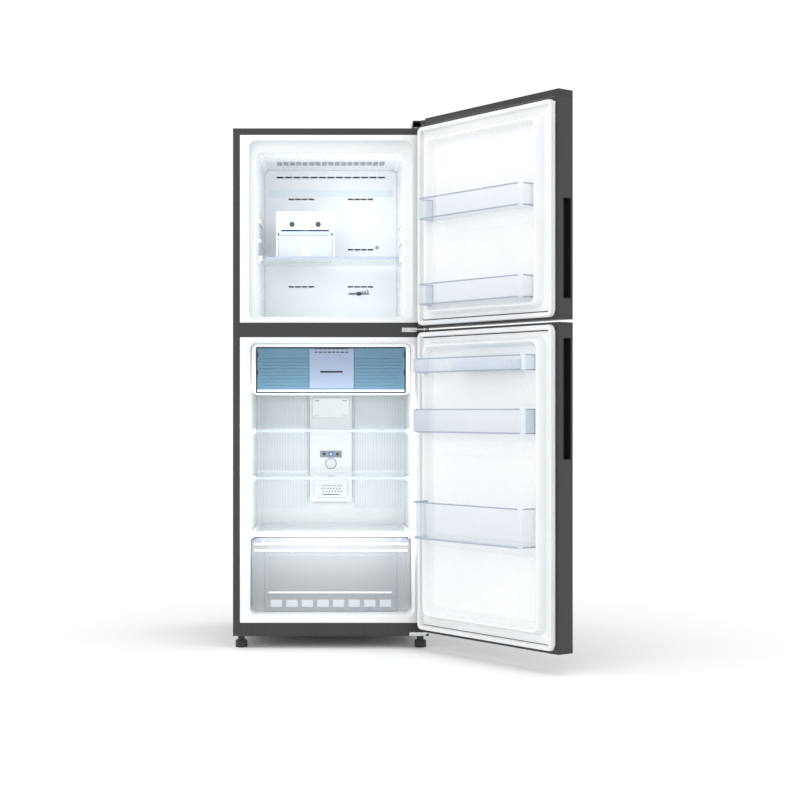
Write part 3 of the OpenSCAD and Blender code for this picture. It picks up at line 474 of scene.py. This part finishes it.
def door_piece(name, mesh, finish, door, replaces=()):
    """Turns a shut piece open and finishes it."""
    bmesh.ops.transform(mesh, matrix=TO_OPEN, verts=mesh.verts)
    return piece(name, mesh, finish, door, replaces)


print("doors stand open by", round(math.degrees(open_angle)), "degrees")

# %% [markdown]
# ### Door liners
#
# A door's liner is one vacuum-formed sheet. Round its edge runs a raised dyke that
# plugs the compartment when the door is shut, and inside the dyke lie shallow
# panels. Insetting a face would pinch its round corners, so the relief is drawn as
# a stack of round-cornered outlines, each at its own height, and bridged from one
# to the next. Heights that follow half a cosine give the slope its drawn radii.
# A bridge twists when its two outlines lie at one height, so every second outline
# is lifted by 0.02 mm.

# %% Stacked outlines
def outline(mesh, lo, hi, radius, y):
    """A round-cornered upright outline at depth y; returns its edges."""
    made = bmesh.ops.create_grid(mesh, x_segments=1, y_segments=1, size=0.5)["verts"]
    bmesh.ops.rotate(mesh, matrix=Matrix.Rotation(math.pi / 2, 3, "X"), verts=made)
    bmesh.ops.scale(mesh, vec=(hi[0] - lo[0], 1.0, hi[1] - lo[1]), verts=made)
    bmesh.ops.translate(mesh, vec=((lo[0] + hi[0]) / 2, y, (lo[1] + hi[1]) / 2), verts=made)
    before = set(mesh.edges) - {e for v in made for e in v.link_edges}
    bmesh.ops.bevel(mesh, geom=made, offset=radius, segments=8, profile=0.5, affect="VERTICES", material=-1)
    return [e for e in mesh.edges if e not in before]


def relief(mesh, lo, hi, levels, closed=False):
    """Bridges outlines of (inset, depth, corner radius); both ends stay filled unless closed."""
    rings = []
    for index, (inset, y, radius) in enumerate(levels):
        height = y + (0.02 * MM if index % 2 else 0)
        low, high = (lo[0] + inset, lo[1] + inset), (hi[0] - inset, hi[1] - inset)
        rings.append(outline(mesh, low, high, radius, height))
    caps = [f for f in mesh.faces if any(set(f.edges) == set(ring) for ring in rings)]
    keep = [] if closed else [f for f in caps if set(f.edges) in (set(rings[0]), set(rings[-1]))]
    bmesh.ops.delete(mesh, geom=[f for f in caps if f not in keep], context="FACES_ONLY")
    pairs = list(zip(rings, rings[1:])) + ([(rings[-1], rings[0])] if closed else [])
    for first, second in pairs:
        bmesh.ops.bridge_loops(mesh, edges=first + second)


def slope(insets, heights, radii, steps=6):
    """Levels that run from one height to another along half a cosine."""
    out = []
    for i in range(steps + 1):
        t = i / steps
        rise = (1 - math.cos(math.pi * t)) / 2
        out.append((insets[0] + (insets[1] - insets[0]) * t,
                    heights[0] + (heights[1] - heights[0]) * rise,
                    radii[0] + (radii[1] - radii[0]) * t))
    return out


# %% [markdown]
# The dyke rises from the flat flange, runs level for 3 mm and falls to a middle
# that lies 6 mm above the flange. Each panel in the middle is a low cushion: a
# short rise to 2.2 mm and a long shallow fall. All of it is one stack of outlines
# for the dyke and one for each panel.

# %% Form a door liner
flange, sunk_middle = 2 * MM, 6 * MM
dyke_up, dyke_flat, dyke_wide = 9 * MM, 12 * MM, 24 * MM
half_groove = 7 * MM


def raised_foot(name, base):
    """The foot of the dyke: the extent of everything that stands just out of the flat flange."""
    points = [TO_SHUT @ v.co for v in nodes[name].data.vertices]
    low, high = corners([p for p in points if 0.2 * MM < p[1] - base < 2 * MM])
    return (low[0], low[2]), (high[0], high[2])


def panel_levels(y):
    """The outlines of one low cushion on a surface at depth y."""
    crown = y + 2.2 * MM
    rise = slope((4 * MM, 12 * MM), (y - 0.3 * MM, crown), (14 * MM, 12 * MM), 4)
    return rise + slope((15 * MM, 27 * MM), (crown, y + 0.9 * MM), (12 * MM, 9 * MM), 5)


def door_liner(door, divides, notch):
    """One door's liner; divides are the grooves' heights as shares, notch is cut for the hinge."""
    name = door + "_liner"
    lo, hi = shut_box(name)
    base, top = lo[1] + flange, hi[1] - 0.3 * MM
    foot_lo, foot_hi = raised_foot(name, base)
    middle = base + sunk_middle
    mesh = bmesh.new()
    dyke = slope((0.0, dyke_up), (base - 0.5 * MM, top), (24 * MM, 19 * MM))
    dyke += slope((dyke_flat, dyke_wide), (top, middle), (17 * MM, 14 * MM))
    relief(mesh, foot_lo, foot_hi, dyke)
    cuts = [0.0, *divides, 1.0]
    span_lo, span_hi = foot_lo[1] + dyke_wide, foot_hi[1] - dyke_wide
    for low, high in zip(cuts, cuts[1:]):
        z0 = span_lo + low * (span_hi - span_lo) + (half_groove if low > 0 else 0)
        z1 = span_lo + high * (span_hi - span_lo) - (half_groove if high < 1 else 0)
        relief(mesh, (foot_lo[0] + dyke_wide, z0), (foot_hi[0] - dyke_wide, z1), panel_levels(middle))
    block(mesh, lo, (hi[0], base, hi[2] - notch))
    if notch:
        block(mesh, (lo[0], lo[1], hi[2] - notch), (hi[0] - 21 * MM, base, hi[2]))
    bmesh.ops.recalc_face_normals(mesh, faces=mesh.faces)
    door_piece(name + "_formed", mesh, liner_white, door, (name,))


door_liner("freezer_door", (0.47,), 12 * MM)
door_liner("fridge_door", (0.27, 0.62), 0.0)

# %% [markdown]
# ### Door shelves
#
# A door shelf is a clear tray with round front corners, a thicker bead along its
# rim, and solid ends that clip over the dyke. The tray is a block whose top face
# is inset by the wall and pushed down, and the bead and ends are pieces of the
# same moulding that show darker because the light gathers there.

# %% Make one tray
tray_wall, tray_corner = 2.5 * MM, 12 * MM


def tray(mesh, lo, hi):
    """An open-topped tray with rounded upright corners towards the cabinet."""
    verts = block(mesh, lo, hi)
    front = [e for e in along(verts, 2) if e.verts[0].co[1] > (lo[1] + hi[1]) / 2]
    round_edges(mesh, front, tray_corner, 6)
    mesh.normal_update()
    top = [f for f in mesh.faces if f.normal[2] > 0.99 and abs(f.calc_center_median()[2] - hi[2]) < 1e-5
           and lo[0] - 1e-4 <= f.calc_center_median()[0] <= hi[0] + 1e-4]
    bmesh.ops.inset_region(mesh, faces=top, thickness=tray_wall, depth=0.0, use_even_offset=True)
    pushed = list({v for f in top for v in f.verts})
    bmesh.ops.translate(mesh, vec=(0, 0, lo[2] + tray_wall - hi[2]), verts=pushed)


def frame_bar(mesh, lo, hi, radius):
    """A small bar with all its edges rounded."""
    verts = block(mesh, lo, hi)
    round_edges(mesh, list({e for v in verts for e in v.link_edges}), radius, 2)


# %% Find the separate trays of a node
def linked(start, left):
    """Takes everything joined to start out of left, and returns it."""
    group, queue = set(), [start]
    while queue:
        vert = queue.pop()
        group.add(vert)
        for edge in vert.link_edges:
            other = edge.other_vert(vert)
            if other in left:
                left.remove(other)
                queue.append(other)
    return group


def solids_along_z(name, turn=TO_SHUT):
    """The separate solids of a node as boxes, lowest first; a door's node is turned shut first."""
    mesh = bmesh.new()
    mesh.from_mesh(nodes[name].data)
    bmesh.ops.remove_doubles(mesh, verts=mesh.verts, dist=MERGE)
    bmesh.ops.transform(mesh, matrix=turn, verts=mesh.verts)
    left = set(mesh.verts)
    boxes = []
    while left:
        boxes.append(corners([v.co for v in linked(left.pop(), left)]))
    mesh.free()
    return sorted(boxes, key=lambda box: box[0][2])


# %% Shelves of both doors
bead_deep, bead_high, bead_round = 5 * MM, 4 * MM, 1.2 * MM
end_wide, foot_deep = 3 * MM, 8 * MM
cap_wide, cap_round = 4 * MM, 1.5 * MM


def tray_beads(mesh, lo, hi):
    """The thick rims: along the front, and round each end."""
    left, right, ends_at = lo[0] + tray_corner, hi[0] - tray_corner, hi[1] - tray_corner
    low, high = lo[2] + bead_high, hi[2] - bead_high
    frame_bar(mesh, (left, hi[1] - bead_deep, high), (right, hi[1], hi[2]), bead_round)
    frame_bar(mesh, (left, hi[1] - bead_deep, lo[2]), (right, hi[1] - 0.5 * MM, low), bead_round)
    for x in (lo[0], hi[0] - end_wide):
        frame_bar(mesh, (x, lo[1], high), (x + end_wide, ends_at, hi[2]), bead_round)
        frame_bar(mesh, (x, lo[1], lo[2]), (x + end_wide, ends_at, low), bead_round)
        frame_bar(mesh, (x, lo[1], lo[2]), (x + end_wide, lo[1] + foot_deep, hi[2]), bead_round)


def tray_caps(mesh, lo, hi):
    """The white clips that close both ends of a tray."""
    for x in (lo[0], hi[0] - cap_wide):
        low = (x, lo[1] + 6 * MM, lo[2] + 1 * MM)
        frame_bar(mesh, low, (x + cap_wide, hi[1] - 1 * MM, hi[2]), cap_round)


def door_shelves(door, node_name, capped):
    """All the trays of one door with their beads; capped lists the trays with white ends."""
    walls, beads, caps = bmesh.new(), bmesh.new(), bmesh.new()
    for index, (lo, hi) in enumerate(solids_along_z(node_name)):
        tray(walls, lo, hi)
        tray_beads(beads, lo, hi)
        if index in capped:
            tray_caps(caps, lo, hi)
    door_piece(door + "_shelf_trays", walls, clear_shelf, door, (node_name,))
    door_piece(door + "_shelf_beads", beads, clear_rim, door)
    if capped:
        door_piece(door + "_shelf_end_caps", caps, cool_white, door)


door_shelves("freezer_door", "freezer_pockets", ())
door_shelves("fridge_door", "fridge_pockets", (1, 2))

# %% [markdown]
# ### Door seals
#
# The seal is a vinyl bellows with a magnet in its nose. A section swept along a
# path would pinch at the corners, so it is made like the dyke: its section goes
# round as twelve outlines, bridged into a closed ring. Each point of the section
# is an inset in millimetres and a share of the seal's depth.

# %% Form a seal
def seal(door):
    """A closed ring: out along the foot, over the pleat, round the magnet's nose and back inside."""
    name = door.replace("_door", "_gasket")
    lo, hi = shut_box(name)
    depth = hi[1] - lo[1]
    mesh = bmesh.new()
    section = ((0.0, 0.0), (0.0, 0.3), (3.0, 0.42), (1.2, 0.56), (1.2, 0.92), (2.2, 1.0),
               (10.8, 1.0), (11.8, 0.92), (11.8, 0.56), (10.0, 0.42), (12.9, 0.3), (12.9, 0.0))
    levels = [(inset * MM, lo[1] + share * depth, 16 * MM - inset * MM) for inset, share in section]
    relief(mesh, (lo[0], lo[2]), (hi[0], hi[2]), levels, closed=True)
    bmesh.ops.recalc_face_normals(mesh, faces=mesh.faces)
    door_piece(name + "_pleated", mesh, seal_vinyl, door, (name,))


seal("freezer_door")
seal("fridge_door")

# %% [markdown]
# ### The dark edge of the doors, and the shade in the gap
#
# The steel skin folds over the door's edge and ends in a dark flat strip round the
# white liner. Seen from the cabinet it draws a black line round the whole door,
# partly that dark edge and partly painted shade in the gap between the seal and
# the skin. It is a thin black ring of its own, because a painted line on the skin
# would blur at the fold.

# %% Lay the black strip of dark edge and painted gap shade round each liner
def dark_edge_and_gap_shade(door):
    """A thin flat black ring on the folded edge of the door's skin: its dark edge and painted shade in the gap."""
    lo, hi = shut_box(door + "_skin")
    mesh = bmesh.new()
    near, wide = 0.3 * MM, 11.6 * MM
    front, back = hi[1] + near, hi[1] - near
    section = ((near, back), (near, front), (wide, front), (wide, back))
    relief(mesh, (lo[0], lo[2]), (hi[0], hi[2]), [(inset, y, 1.5 * MM) for inset, y in section], closed=True)
    bmesh.ops.recalc_face_normals(mesh, faces=mesh.faces)
    door_piece(door + "_dark_edge_and_gap_shade", mesh, black_plastic, door)


dark_edge_and_gap_shade("freezer_door")
dark_edge_and_gap_shade("fridge_door")

# %% [markdown]
# ## Small fittings inside the cabinet
#
# Most of what makes the inside look real is small: printed pads, a few dark slots,
# ribs and clips. They are placed in millimetres, across from the middle of the
# cabinet, back from its front rim, and up from the floor, and their places come
# from the pieces they sit on. Each is a small block with rounded edges. It stands
# a little proud of the face behind it and reaches a little into it, so that no gap
# shows.

# %% Helpers for small fittings
def bar(mesh, xs, ys, zs, radius=0.4):
    """A small rounded bar, all in millimetres."""
    frame_bar(mesh, (xs[0] * MM, rim_y + ys[0] * MM, zs[0] * MM),
              (xs[1] * MM, rim_y + ys[1] * MM, zs[1] * MM), radius * MM)


def disc(mesh, x, ys, z, radius):
    """A round button that faces the front, all in millimetres."""
    thick = ys[1] - ys[0]
    place = Matrix.Translation((x * MM, rim_y + (ys[0] + ys[1]) / 2 * MM, z * MM))
    made = bmesh.ops.create_cone(
        mesh, cap_ends=True, segments=32, radius1=radius * MM, radius2=radius * MM,
        depth=thick * MM, matrix=place @ Matrix.Rotation(math.pi / 2, 4, "X"))["verts"]
    rims = {e for v in made for e in v.link_edges if any(len(f.verts) > 4 for f in e.link_faces)}
    round_edges(mesh, list(rims), min(0.4, thick / 3) * MM, 2)


def extent(name):
    """A cabinet node's box in those millimetres."""
    low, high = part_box(name)
    return ([low[0] / MM, (low[1] - rim_y) / MM, low[2] / MM],
            [high[0] / MM, (high[1] - rim_y) / MM, high[2] / MM])


def proud(front, out, into=0.5):
    """Where a fitting starts and ends that stands out of a face and reaches into it."""
    return front - out, front + into


def row(count, first, pitch):
    """Places that repeat at an even pitch."""
    return [first + pitch * step for step in range(count)]


def around(middle, half):
    """The two ends of something centred on middle."""
    return middle - half, middle + half


def fitting(name, mesh, finish, on):
    """Finishes a fitting that moves with the node it sits on."""
    bmesh.ops.recalc_face_normals(mesh, faces=mesh.faces)
    piece(name, mesh, finish, body_of_node[on])


# %% [markdown]
# ### Freezer
#
# The panel at the back of the freezer carries a pale band, a round grey mark, and
# seven printed bars beside the airflow slider that grow to show more cold. They
# are raised by half a millimetre, as a thick print is, because a picture of them
# on the panel would need its own image. The ceiling has three rows of shallow
# louvres, drawn grey as painted shade in their slots.

# %% Freezer: band and printed marks
lo, hi = extent("freezer_air_panel")
front, high = lo[1], hi[2] - lo[2]
band = bmesh.new()
bar(band, (-185, 185), proud(front, 1.2), (lo[2] + 0.825 * high, lo[2] + 0.87 * high), 0.5)
fitting("freezer_pale_band", band, cool_white, "freezer_air_panel")

marks = bmesh.new()
disc(marks, 138.7, proud(front, 0.8, 0.3), lo[2] + 0.494 * high, 5.5)
marks_foot = lo[2] + 0.187 * high
for step, x in enumerate(row(7, 60, 8)):
    mark_top = lo[2] + (0.19 + 0.0045 * step) * high
    bar(marks, (x, x + 5), proud(front, 0.6, 0.3), (marks_foot, mark_top), 0.2)
fitting("freezer_printed_marks", marks, grey_print_and_shade, "freezer_air_panel")

# %% Freezer: louvres in the ceiling, grey as painted shade
# grey bars: the painted shade in the louvre slots
louvre_shades = bmesh.new()
for y in row(3, 192, 20):
    for x in row(17, -157, 18.7):
        bar(louvre_shades, (x, x + 14), (y, y + 11), (hi[2] - 2.5, hi[2] + 0.2), 0.4)
fitting("freezer_ceiling_louvre_shades", louvre_shades, grey_print_and_shade, "freezer_liner")

# %% [markdown]
# ### Ice maker
#
# Two trays hang side by side in a white frame, each turned by a black knob, and
# the ice falls into a box below. Grey lines painted as shadow run along the trays'
# edges, broad white arms close the frame at both sides, and a blue-grey band runs
# above the box.

# %% Ice maker: painted edge shadows, band and arms
lo, hi = extent("ice_maker_frame")
front, middle = lo[1], (lo[0] + hi[0]) / 2
tray_edge_shadows, band, arms = bmesh.new(), bmesh.new(), bmesh.new()
knob_x, edge_x, arm_x = 37, 67, 75
line_y = proud(front, 0.5, 0.3)
for side in (-1, 1):
    bar(tray_edge_shadows, around(middle + side * knob_x, 30), line_y, (hi[2] - 20, hi[2] - 18), 0.3)
    bar(tray_edge_shadows, around(middle + side * edge_x, 0.8), line_y, (hi[2] - 45, hi[2] - 8), 0.3)
    bar(arms, around(middle + side * arm_x, 6), proud(front, 2.5), (hi[2] - 60, hi[2] - 6), 1.2)
box_top = extent("ice_box")[1][2]
bar(band, (lo[0] + 8, hi[0] - 8), (front + 0.4, front + 1.6), (box_top + 1.5, box_top + 13))
fitting("ice_maker_tray_edge_shadows", tray_edge_shadows, grey_print_and_shade, "ice_maker_frame")
fitting("ice_maker_band", band, tray_blue, "ice_maker_frame")
fitting("ice_maker_arms", arms, trim_white, "ice_maker_frame")

# %% Ice maker: knobs and box front
for side, tray_name in ((-1, "ice_tray_left"), (1, "ice_tray_right")):
    knob = bmesh.new()
    tray_lo, tray_hi = extent(tray_name)
    knob_z = (tray_lo[2] + tray_hi[2]) / 2
    disc(knob, middle + side * knob_x, (tray_lo[1] - 0.1, tray_lo[1] + 2), knob_z, 7.5)
    fitting(tray_name + "_knob", knob, black_plastic, tray_name)

lo, hi = extent("ice_box")
front, middle = lo[1], (lo[0] + hi[0]) / 2
divider = bmesh.new()
bar(divider, around(middle, 11), proud(front, 0.8, 1.0), (lo[2] + 6, hi[2] - 1), 0.5)
bar(divider, (lo[0] + 1, hi[0] - 1), proud(front, 1.0, 1.0), (hi[2] - 5, hi[2] - 0.2), 0.5)
fitting("ice_box_divider", divider, trim_white, "ice_box")

# %% [markdown]
# ### Back wall of the fridge
#
# The back wall is ribbed so that condensed water runs straight down. The cover of
# the air duct stands in front of it, and it carries the lamp above and the vent
# below. The shadow where the cover's edges meet the wall, and the shade in the
# lamp cover's notches, are painted as thin raised strips in grey.

# %% Back wall: ribs, painted edge shadows and lamp
lo, hi = extent("fridge_duct_cover")
front, wall_y = lo[1], hi[1]
ribs = bmesh.new()
for side in (-1, 1):
    for x in row(18, hi[0] + 7, 8.4):
        bar(ribs, around(side * x, 1.2), proud(wall_y, 1.0, 0.3), (lo[2] - 20, hi[2] - 20), 0.3)
fitting("back_wall_ribs", ribs, cool_white, "fridge_liner")

lamp_lo, lamp_hi = extent("lamp_cover")
lamp_face = proud(lamp_lo[1], 0.5, 1)
# grey bars at the lamp cover's notches: painted shade in the notches
notch_shades = bmesh.new()
for x in (-42, 42):
    bar(notch_shades, around(x, 7), lamp_face, (lamp_hi[2] - 10, lamp_hi[2] - 7), 0.5)
    bar(notch_shades, around(x, 6), lamp_face, (lamp_lo[2] + 5, lamp_lo[2] + 6.2), 0.3)
# grey strips along the duct cover's edges: painted shadow where it meets the wall
edge_shadows = bmesh.new()
for x in (lo[0] + 0.2, hi[0] - 1.6):
    bar(edge_shadows, (x, x + 1.4), proud(front, 0.3), (lo[2] + 16, lamp_hi[2]), 0.3)
bar(edge_shadows, (lo[0] + 16, hi[0] - 16), proud(front, 0.3), (lo[2] + 0.2, lo[2] + 1.8), 0.3)
fitting("duct_cover_edge_shadows", edge_shadows, grey_print_and_shade, "fridge_duct_cover")
fitting("lamp_cover_notch_shades", notch_shades, grey_print_and_shade, "lamp_cover")

# %% Back wall: vent
vent_lo, vent_hi = extent("vent_cover")
vent_front = vent_lo[1]
vent_z, vent_half = (vent_lo[2] + vent_hi[2]) / 2, (vent_hi[2] - vent_lo[2]) / 2
dots, vent_edge = bmesh.new(), bmesh.new()
hole_pitch = 9
for column in range(-3, 4):
    for level in (-1, 0, 1):
        x = column * hole_pitch + (0 if level == 0 else hole_pitch / 2)
        disc(dots, x, (vent_front + 0.4, vent_front + 1.2), vent_z + level * 0.31 * vent_half, 2.5)
fitting("vent_dots", dots, grey_print_and_shade, "vent_cover")
for x in (vent_lo[0] + 0.4, vent_hi[0] - 1.4):
    bar(vent_edge, (x, x + 1), proud(vent_front, 0.3, 1), (vent_lo[2] + 8, vent_hi[2] - 8), 0.2)
for z in (vent_lo[2] + 0.4, vent_hi[2] - 1.4):
    bar(vent_edge, (vent_lo[0] + 8, vent_hi[0] - 8), proud(vent_front, 0.3, 1), (z, z + 1), 0.3)
fitting("vent_outline", vent_edge, grey_print_and_shade, "vent_cover")

# %% [markdown]
# ### Control strip and dial
#
# The temperature dial turns in a round seat. Above it lies a grey strip with two
# round buttons and a blue square between them. The symbols that such a strip
# carries are left off. Each layer stands a little further out than the one below,
# because two faces in one plane would flicker.

# %% Control strip and dial seat
dial_lo, dial_hi = extent("temperature_dial")
dial_z, dial_radius = (dial_lo[2] + dial_hi[2]) / 2, (dial_hi[0] - dial_lo[0]) / 2
strip_z = dial_z + 29
strip, marks, square, centre, ring = (bmesh.new() for _ in range(5))
bar(strip, (-33.5, 33.5), proud(front, 1.0, 0.3), around(strip_z, 10.5), 0.5)
for x in (-20, 20):
    disc(marks, x, (front - 1.5, front - 0.8), strip_z, 4.5)
bar(square, (-7, 7), (front - 1.6, front - 0.8), around(strip_z, 7))
bar(centre, (-3.2, 3.2), (front - 2.0, front - 1.2), around(strip_z, 3.2), 0.3)
disc(ring, 0, proud(front, 0.35, 0.3), dial_z, dial_radius + 2.5)
fitting("control_strip", strip, grey_print_and_shade, "fridge_duct_cover")
fitting("control_marks", marks, black_plastic, "fridge_duct_cover")
fitting("control_blue_square", square, print_blue, "fridge_duct_cover")
fitting("control_square_centre", centre, trim_white, "fridge_duct_cover")
fitting("dial_ring", ring, grey_print_and_shade, "fridge_duct_cover")

# %% [markdown]
# ### Front of the chilled compartment
#
# The tinted front is one clear blue moulding. Light gathers in its rim, which
# looks almost black, fine lines run across both wings, and a paler pad covers the
# middle, with two rows of small dashes at its top. Below them a black bar is
# painted shade of the slot in the duct behind the front. Ridges that thin would
# need refraction to show, so they are thin strips in a tint of their own.

# %% Chilled compartment: rim and lines
lo, hi = extent("chiller_drawer")
front = lo[1]
rim_wide, pad_left, pad_right = 2.2, -61, 65
rim = bmesh.new()
for x in (lo[0] + 0.3, hi[0] - 2.5):
    bar(rim, (x, x + rim_wide), proud(front, 0.5, 1), (lo[2] + 0.6, hi[2] - 0.6), 0.3)
for z in (lo[2] + 0.3, hi[2] - 2.5):
    bar(rim, (lo[0] + 0.6, hi[0] - 0.6), proud(front, 0.5, 1), (z, z + rim_wide), 0.3)
for x in (lo[0] + 2, hi[0] - 5):
    for z in (lo[2] + 57, lo[2] + 107):
        bar(rim, (x, x + 3), proud(front, 1.0, 1), around(z, 7), 0.6)
for x in (pad_left - 1, pad_right):
    bar(rim, (x, x + 1.2), proud(front, 0.5, 1), (lo[2] + 10, hi[2] - 3), 0.3)
lines = bmesh.new()
for z in row(9, lo[2] + 20, 9.5):
    bar(lines, (lo[0] + 12, pad_left - 2), proud(front, 0.4), (z, z + 1.4), 0.2)
    bar(lines, (pad_right + 2, hi[0] - 12), proud(front, 0.4), (z, z + 1.4), 0.2)

# %% Chilled compartment: strip, pad, dashes and painted slot shade
white_strip, pad, slot_shade_and_dashes = bmesh.new(), bmesh.new(), bmesh.new()
bar(white_strip, (lo[0] + 3, hi[0] - 3), proud(front, 0.8), (lo[2] + 3, lo[2] + 9))
bar(pad, (pad_left, pad_right), proud(front, 0.3), (lo[2] + 13, hi[2] - 4), 0.3)
# black bar: painted shade of the slot in the duct behind; below it, two rows of black dashes
bar(slot_shade_and_dashes, (-30, 34), proud(front, 0.9, 0.3), (lo[2] + 57, lo[2] + 62), 0.5)
for z in row(2, hi[2] - 5, -10):
    for x in row(8, -46, 12.3):
        bar(slot_shade_and_dashes, (x, x + 9), proud(front, 0.7, 0.3), (z, z + 3), 0.3)
fitting("chiller_white_strip", white_strip, trim_white, "chiller_drawer")
fitting("chiller_outline", rim, flap_edge, "chiller_drawer")
fitting("chiller_lines", lines, flap_ridge_refraction, "chiller_drawer")
fitting("chiller_pale_pad", pad, flap_pad, "chiller_drawer")
fitting("chiller_slot_shade_and_dashes", slot_shade_and_dashes, black_plastic, "chiller_drawer")

# %% [markdown]
# ### Front of the vegetable drawer
#
# The drawer's front is stiffened by two white rails along its top, a thin one
# across its foot, and a row of eight ribs below. A fine raised frame goes round
# the clear middle. All of them belong to one moulding, so they are only a
# millimetre proud, with a round edge that catches the light.

# %% Vegetable drawer: rails, frame and ribs
lo, hi = extent("crisper_drawer")
front = lo[1]
rails, tabs, lines, ribs = bmesh.new(), bmesh.new(), bmesh.new(), bmesh.new()
frame_x, frame_foot = 178, lo[2] + 44
for z in (hi[2] - 17, hi[2] - 35):
    bar(rails, (lo[0] + 6, hi[0] - 6), proud(front, 1.4, 0.6), around(z, 2.5), 1.0)
bar(rails, (-176, 172), proud(front, 1.6, 0.6), (lo[2] + 52, lo[2] + 57), 1.0)
for side in (-1, 1):
    bar(tabs, around(side * (hi[0] - 17), 8), proud(front, 1.2, 0.6), (hi[2] - 10, hi[2] - 2), 1.0)
    bar(lines, around(side * frame_x, 1.2), proud(front, 0.8, 0.6), (frame_foot, hi[2] - 48))
for z in (frame_foot, hi[2] - 50):
    bar(lines, (-frame_x, frame_x), proud(front, 0.8, 0.6), (z, z + 2.2))
for x in row(8, -154, 44):
    bar(lines, around(x, 11), proud(front, 1.2, 0.6), (lo[2] + 9, lo[2] + 12), 0.8)
    bar(ribs, around(x, 16), proud(front, 1.2, 0.6), (lo[2] + 14, lo[2] + 34), 1.0)
fitting("crisper_rails", rails, trim_white, "crisper_drawer")
fitting("crisper_ribs", ribs, rib_clear, "crisper_drawer")
fitting("crisper_corner_tabs", tabs, tab_violet, "crisper_drawer")
fitting("crisper_relief", lines, drawer_rim, "crisper_drawer")

# %% [markdown]
# ### Shelf ends
#
# A glass shelf is held at its front by a clear trim, which is closed at both ends
# by a white clip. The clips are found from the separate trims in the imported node,
# so they follow the shelves.

# %% Clips on the ends of the shelf trims
clips = bmesh.new()
for shelf_lo, shelf_hi in solids_along_z("shelf_trims", Matrix.Identity(4)):
    z0, z1, end_x = shelf_lo[2] / MM, shelf_hi[2] / MM, shelf_hi[0] / MM
    y = (shelf_lo[1] - rim_y) / MM
    for side in (-1, 1):
        bar(clips, around(side * (end_x - 6), 5.5), proud(y, 0.8, 16), (z0 - 1.5, z1 + 1.5), 1.4)
fitting("shelf_end_caps", clips, trim_white, "shelf_trims")

# %% [markdown]
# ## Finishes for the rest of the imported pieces
#
# Pieces that show an edge to the eye get a rounded copy, each with the radius its
# tool or fold would leave. Glass, sheet, foam and the machinery behind the covers
# already have the right shape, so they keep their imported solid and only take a
# finish.

# %% Rounded copies
for name, radius, finish in (
        ("freezer_door_skin", 0.45, dark_steel), ("fridge_door_skin", 0.45, dark_steel),
        ("freezer_door_trim", 1.0, black_plastic), ("fridge_door_trim", 1.0, black_plastic),
        ("top_hinge_cover", 1.2, black_plastic), ("middle_hinge", 0.5, bright_zinc),
        ("bottom_hinge", 0.5, bright_zinc), ("hinge_screws", 0.5, bright_zinc),
        ("lamp_cover", 0.8, lamp_white), ("vent_cover", 0.8, trim_white),
        ("fridge_duct_cover", 1.2, liner_white), ("temperature_dial", 1.0, trim_white),
        ("crisper_cover", 2.5, trim_white), ("shelf_trims", 1.2, clear_rim),
        ("chiller_frame", 2.0, trim_white), ("ice_maker_frame", 1.0, trim_white),
        ("airflow_slider", 0.8, black_plastic), ("foot_left", 1.5, black_plastic),
        ("foot_right", 1.5, black_plastic), ("roller_left", 1.0, black_rubber),
        ("roller_right", 1.0, black_rubber), ("egg_tray", 1.2, cool_white),
        ("ice_tray_left", 0.8, tray_blue), ("ice_tray_right", 0.8, tray_blue),
        ("compressor_cover", 0.5, black_plastic), ("evaporating_tray", 0.6, black_plastic),
        ("mains_inlet", 0.4, black_plastic), ("freezer_liner", 0.6, liner_white),
        ("fridge_liner", 0.6, liner_white), ("ice_box", 0.8, ice_clear),
        ("chiller_drawer", 0.8, tinted_flap), ("crisper_drawer", 0.9, clear_drawer)):
    softened(name, radius, finish)

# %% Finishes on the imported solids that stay
stay = {
    dark_steel: ("cabinet_shell", "mullion_cover", "plinth_cover"),
    back_steel: ("back_panel",),
    zinc_steel: ("base_pan", "compressor_deck", "roller_axles", "fan_motor", "top_hinge"),
    panel_white: ("freezer_air_panel",),
    trim_white: ("fan_blade",),
    shelf_glass: ("freezer_shelf", "fridge_shelves", "crisper_glass"),
    aluminium_fin: ("evaporator",),
    copper: ("refrigerant_pipes", "defrost_heater"),
    black_enamel: ("compressor",),
    black_rubber: ("compressor_mounts",),
    foam_tan: ("cabinet_foam", "freezer_door_foam", "fridge_door_foam"),
}
for finish, names in stay.items():
    for name in names:
        nodes[name].data.materials.clear()
        nodes[name].data.materials.append(finish)
print("finishes on", sum(len(names) for names in stay.values()), "packed solids")

# %% [markdown]
# ## Finish
#
# The box that the finished model takes up is printed.

# %% Print the size of the finished model
lo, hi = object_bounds()
print("visual box", [round(v, 3) for v in (*lo, *hi)])
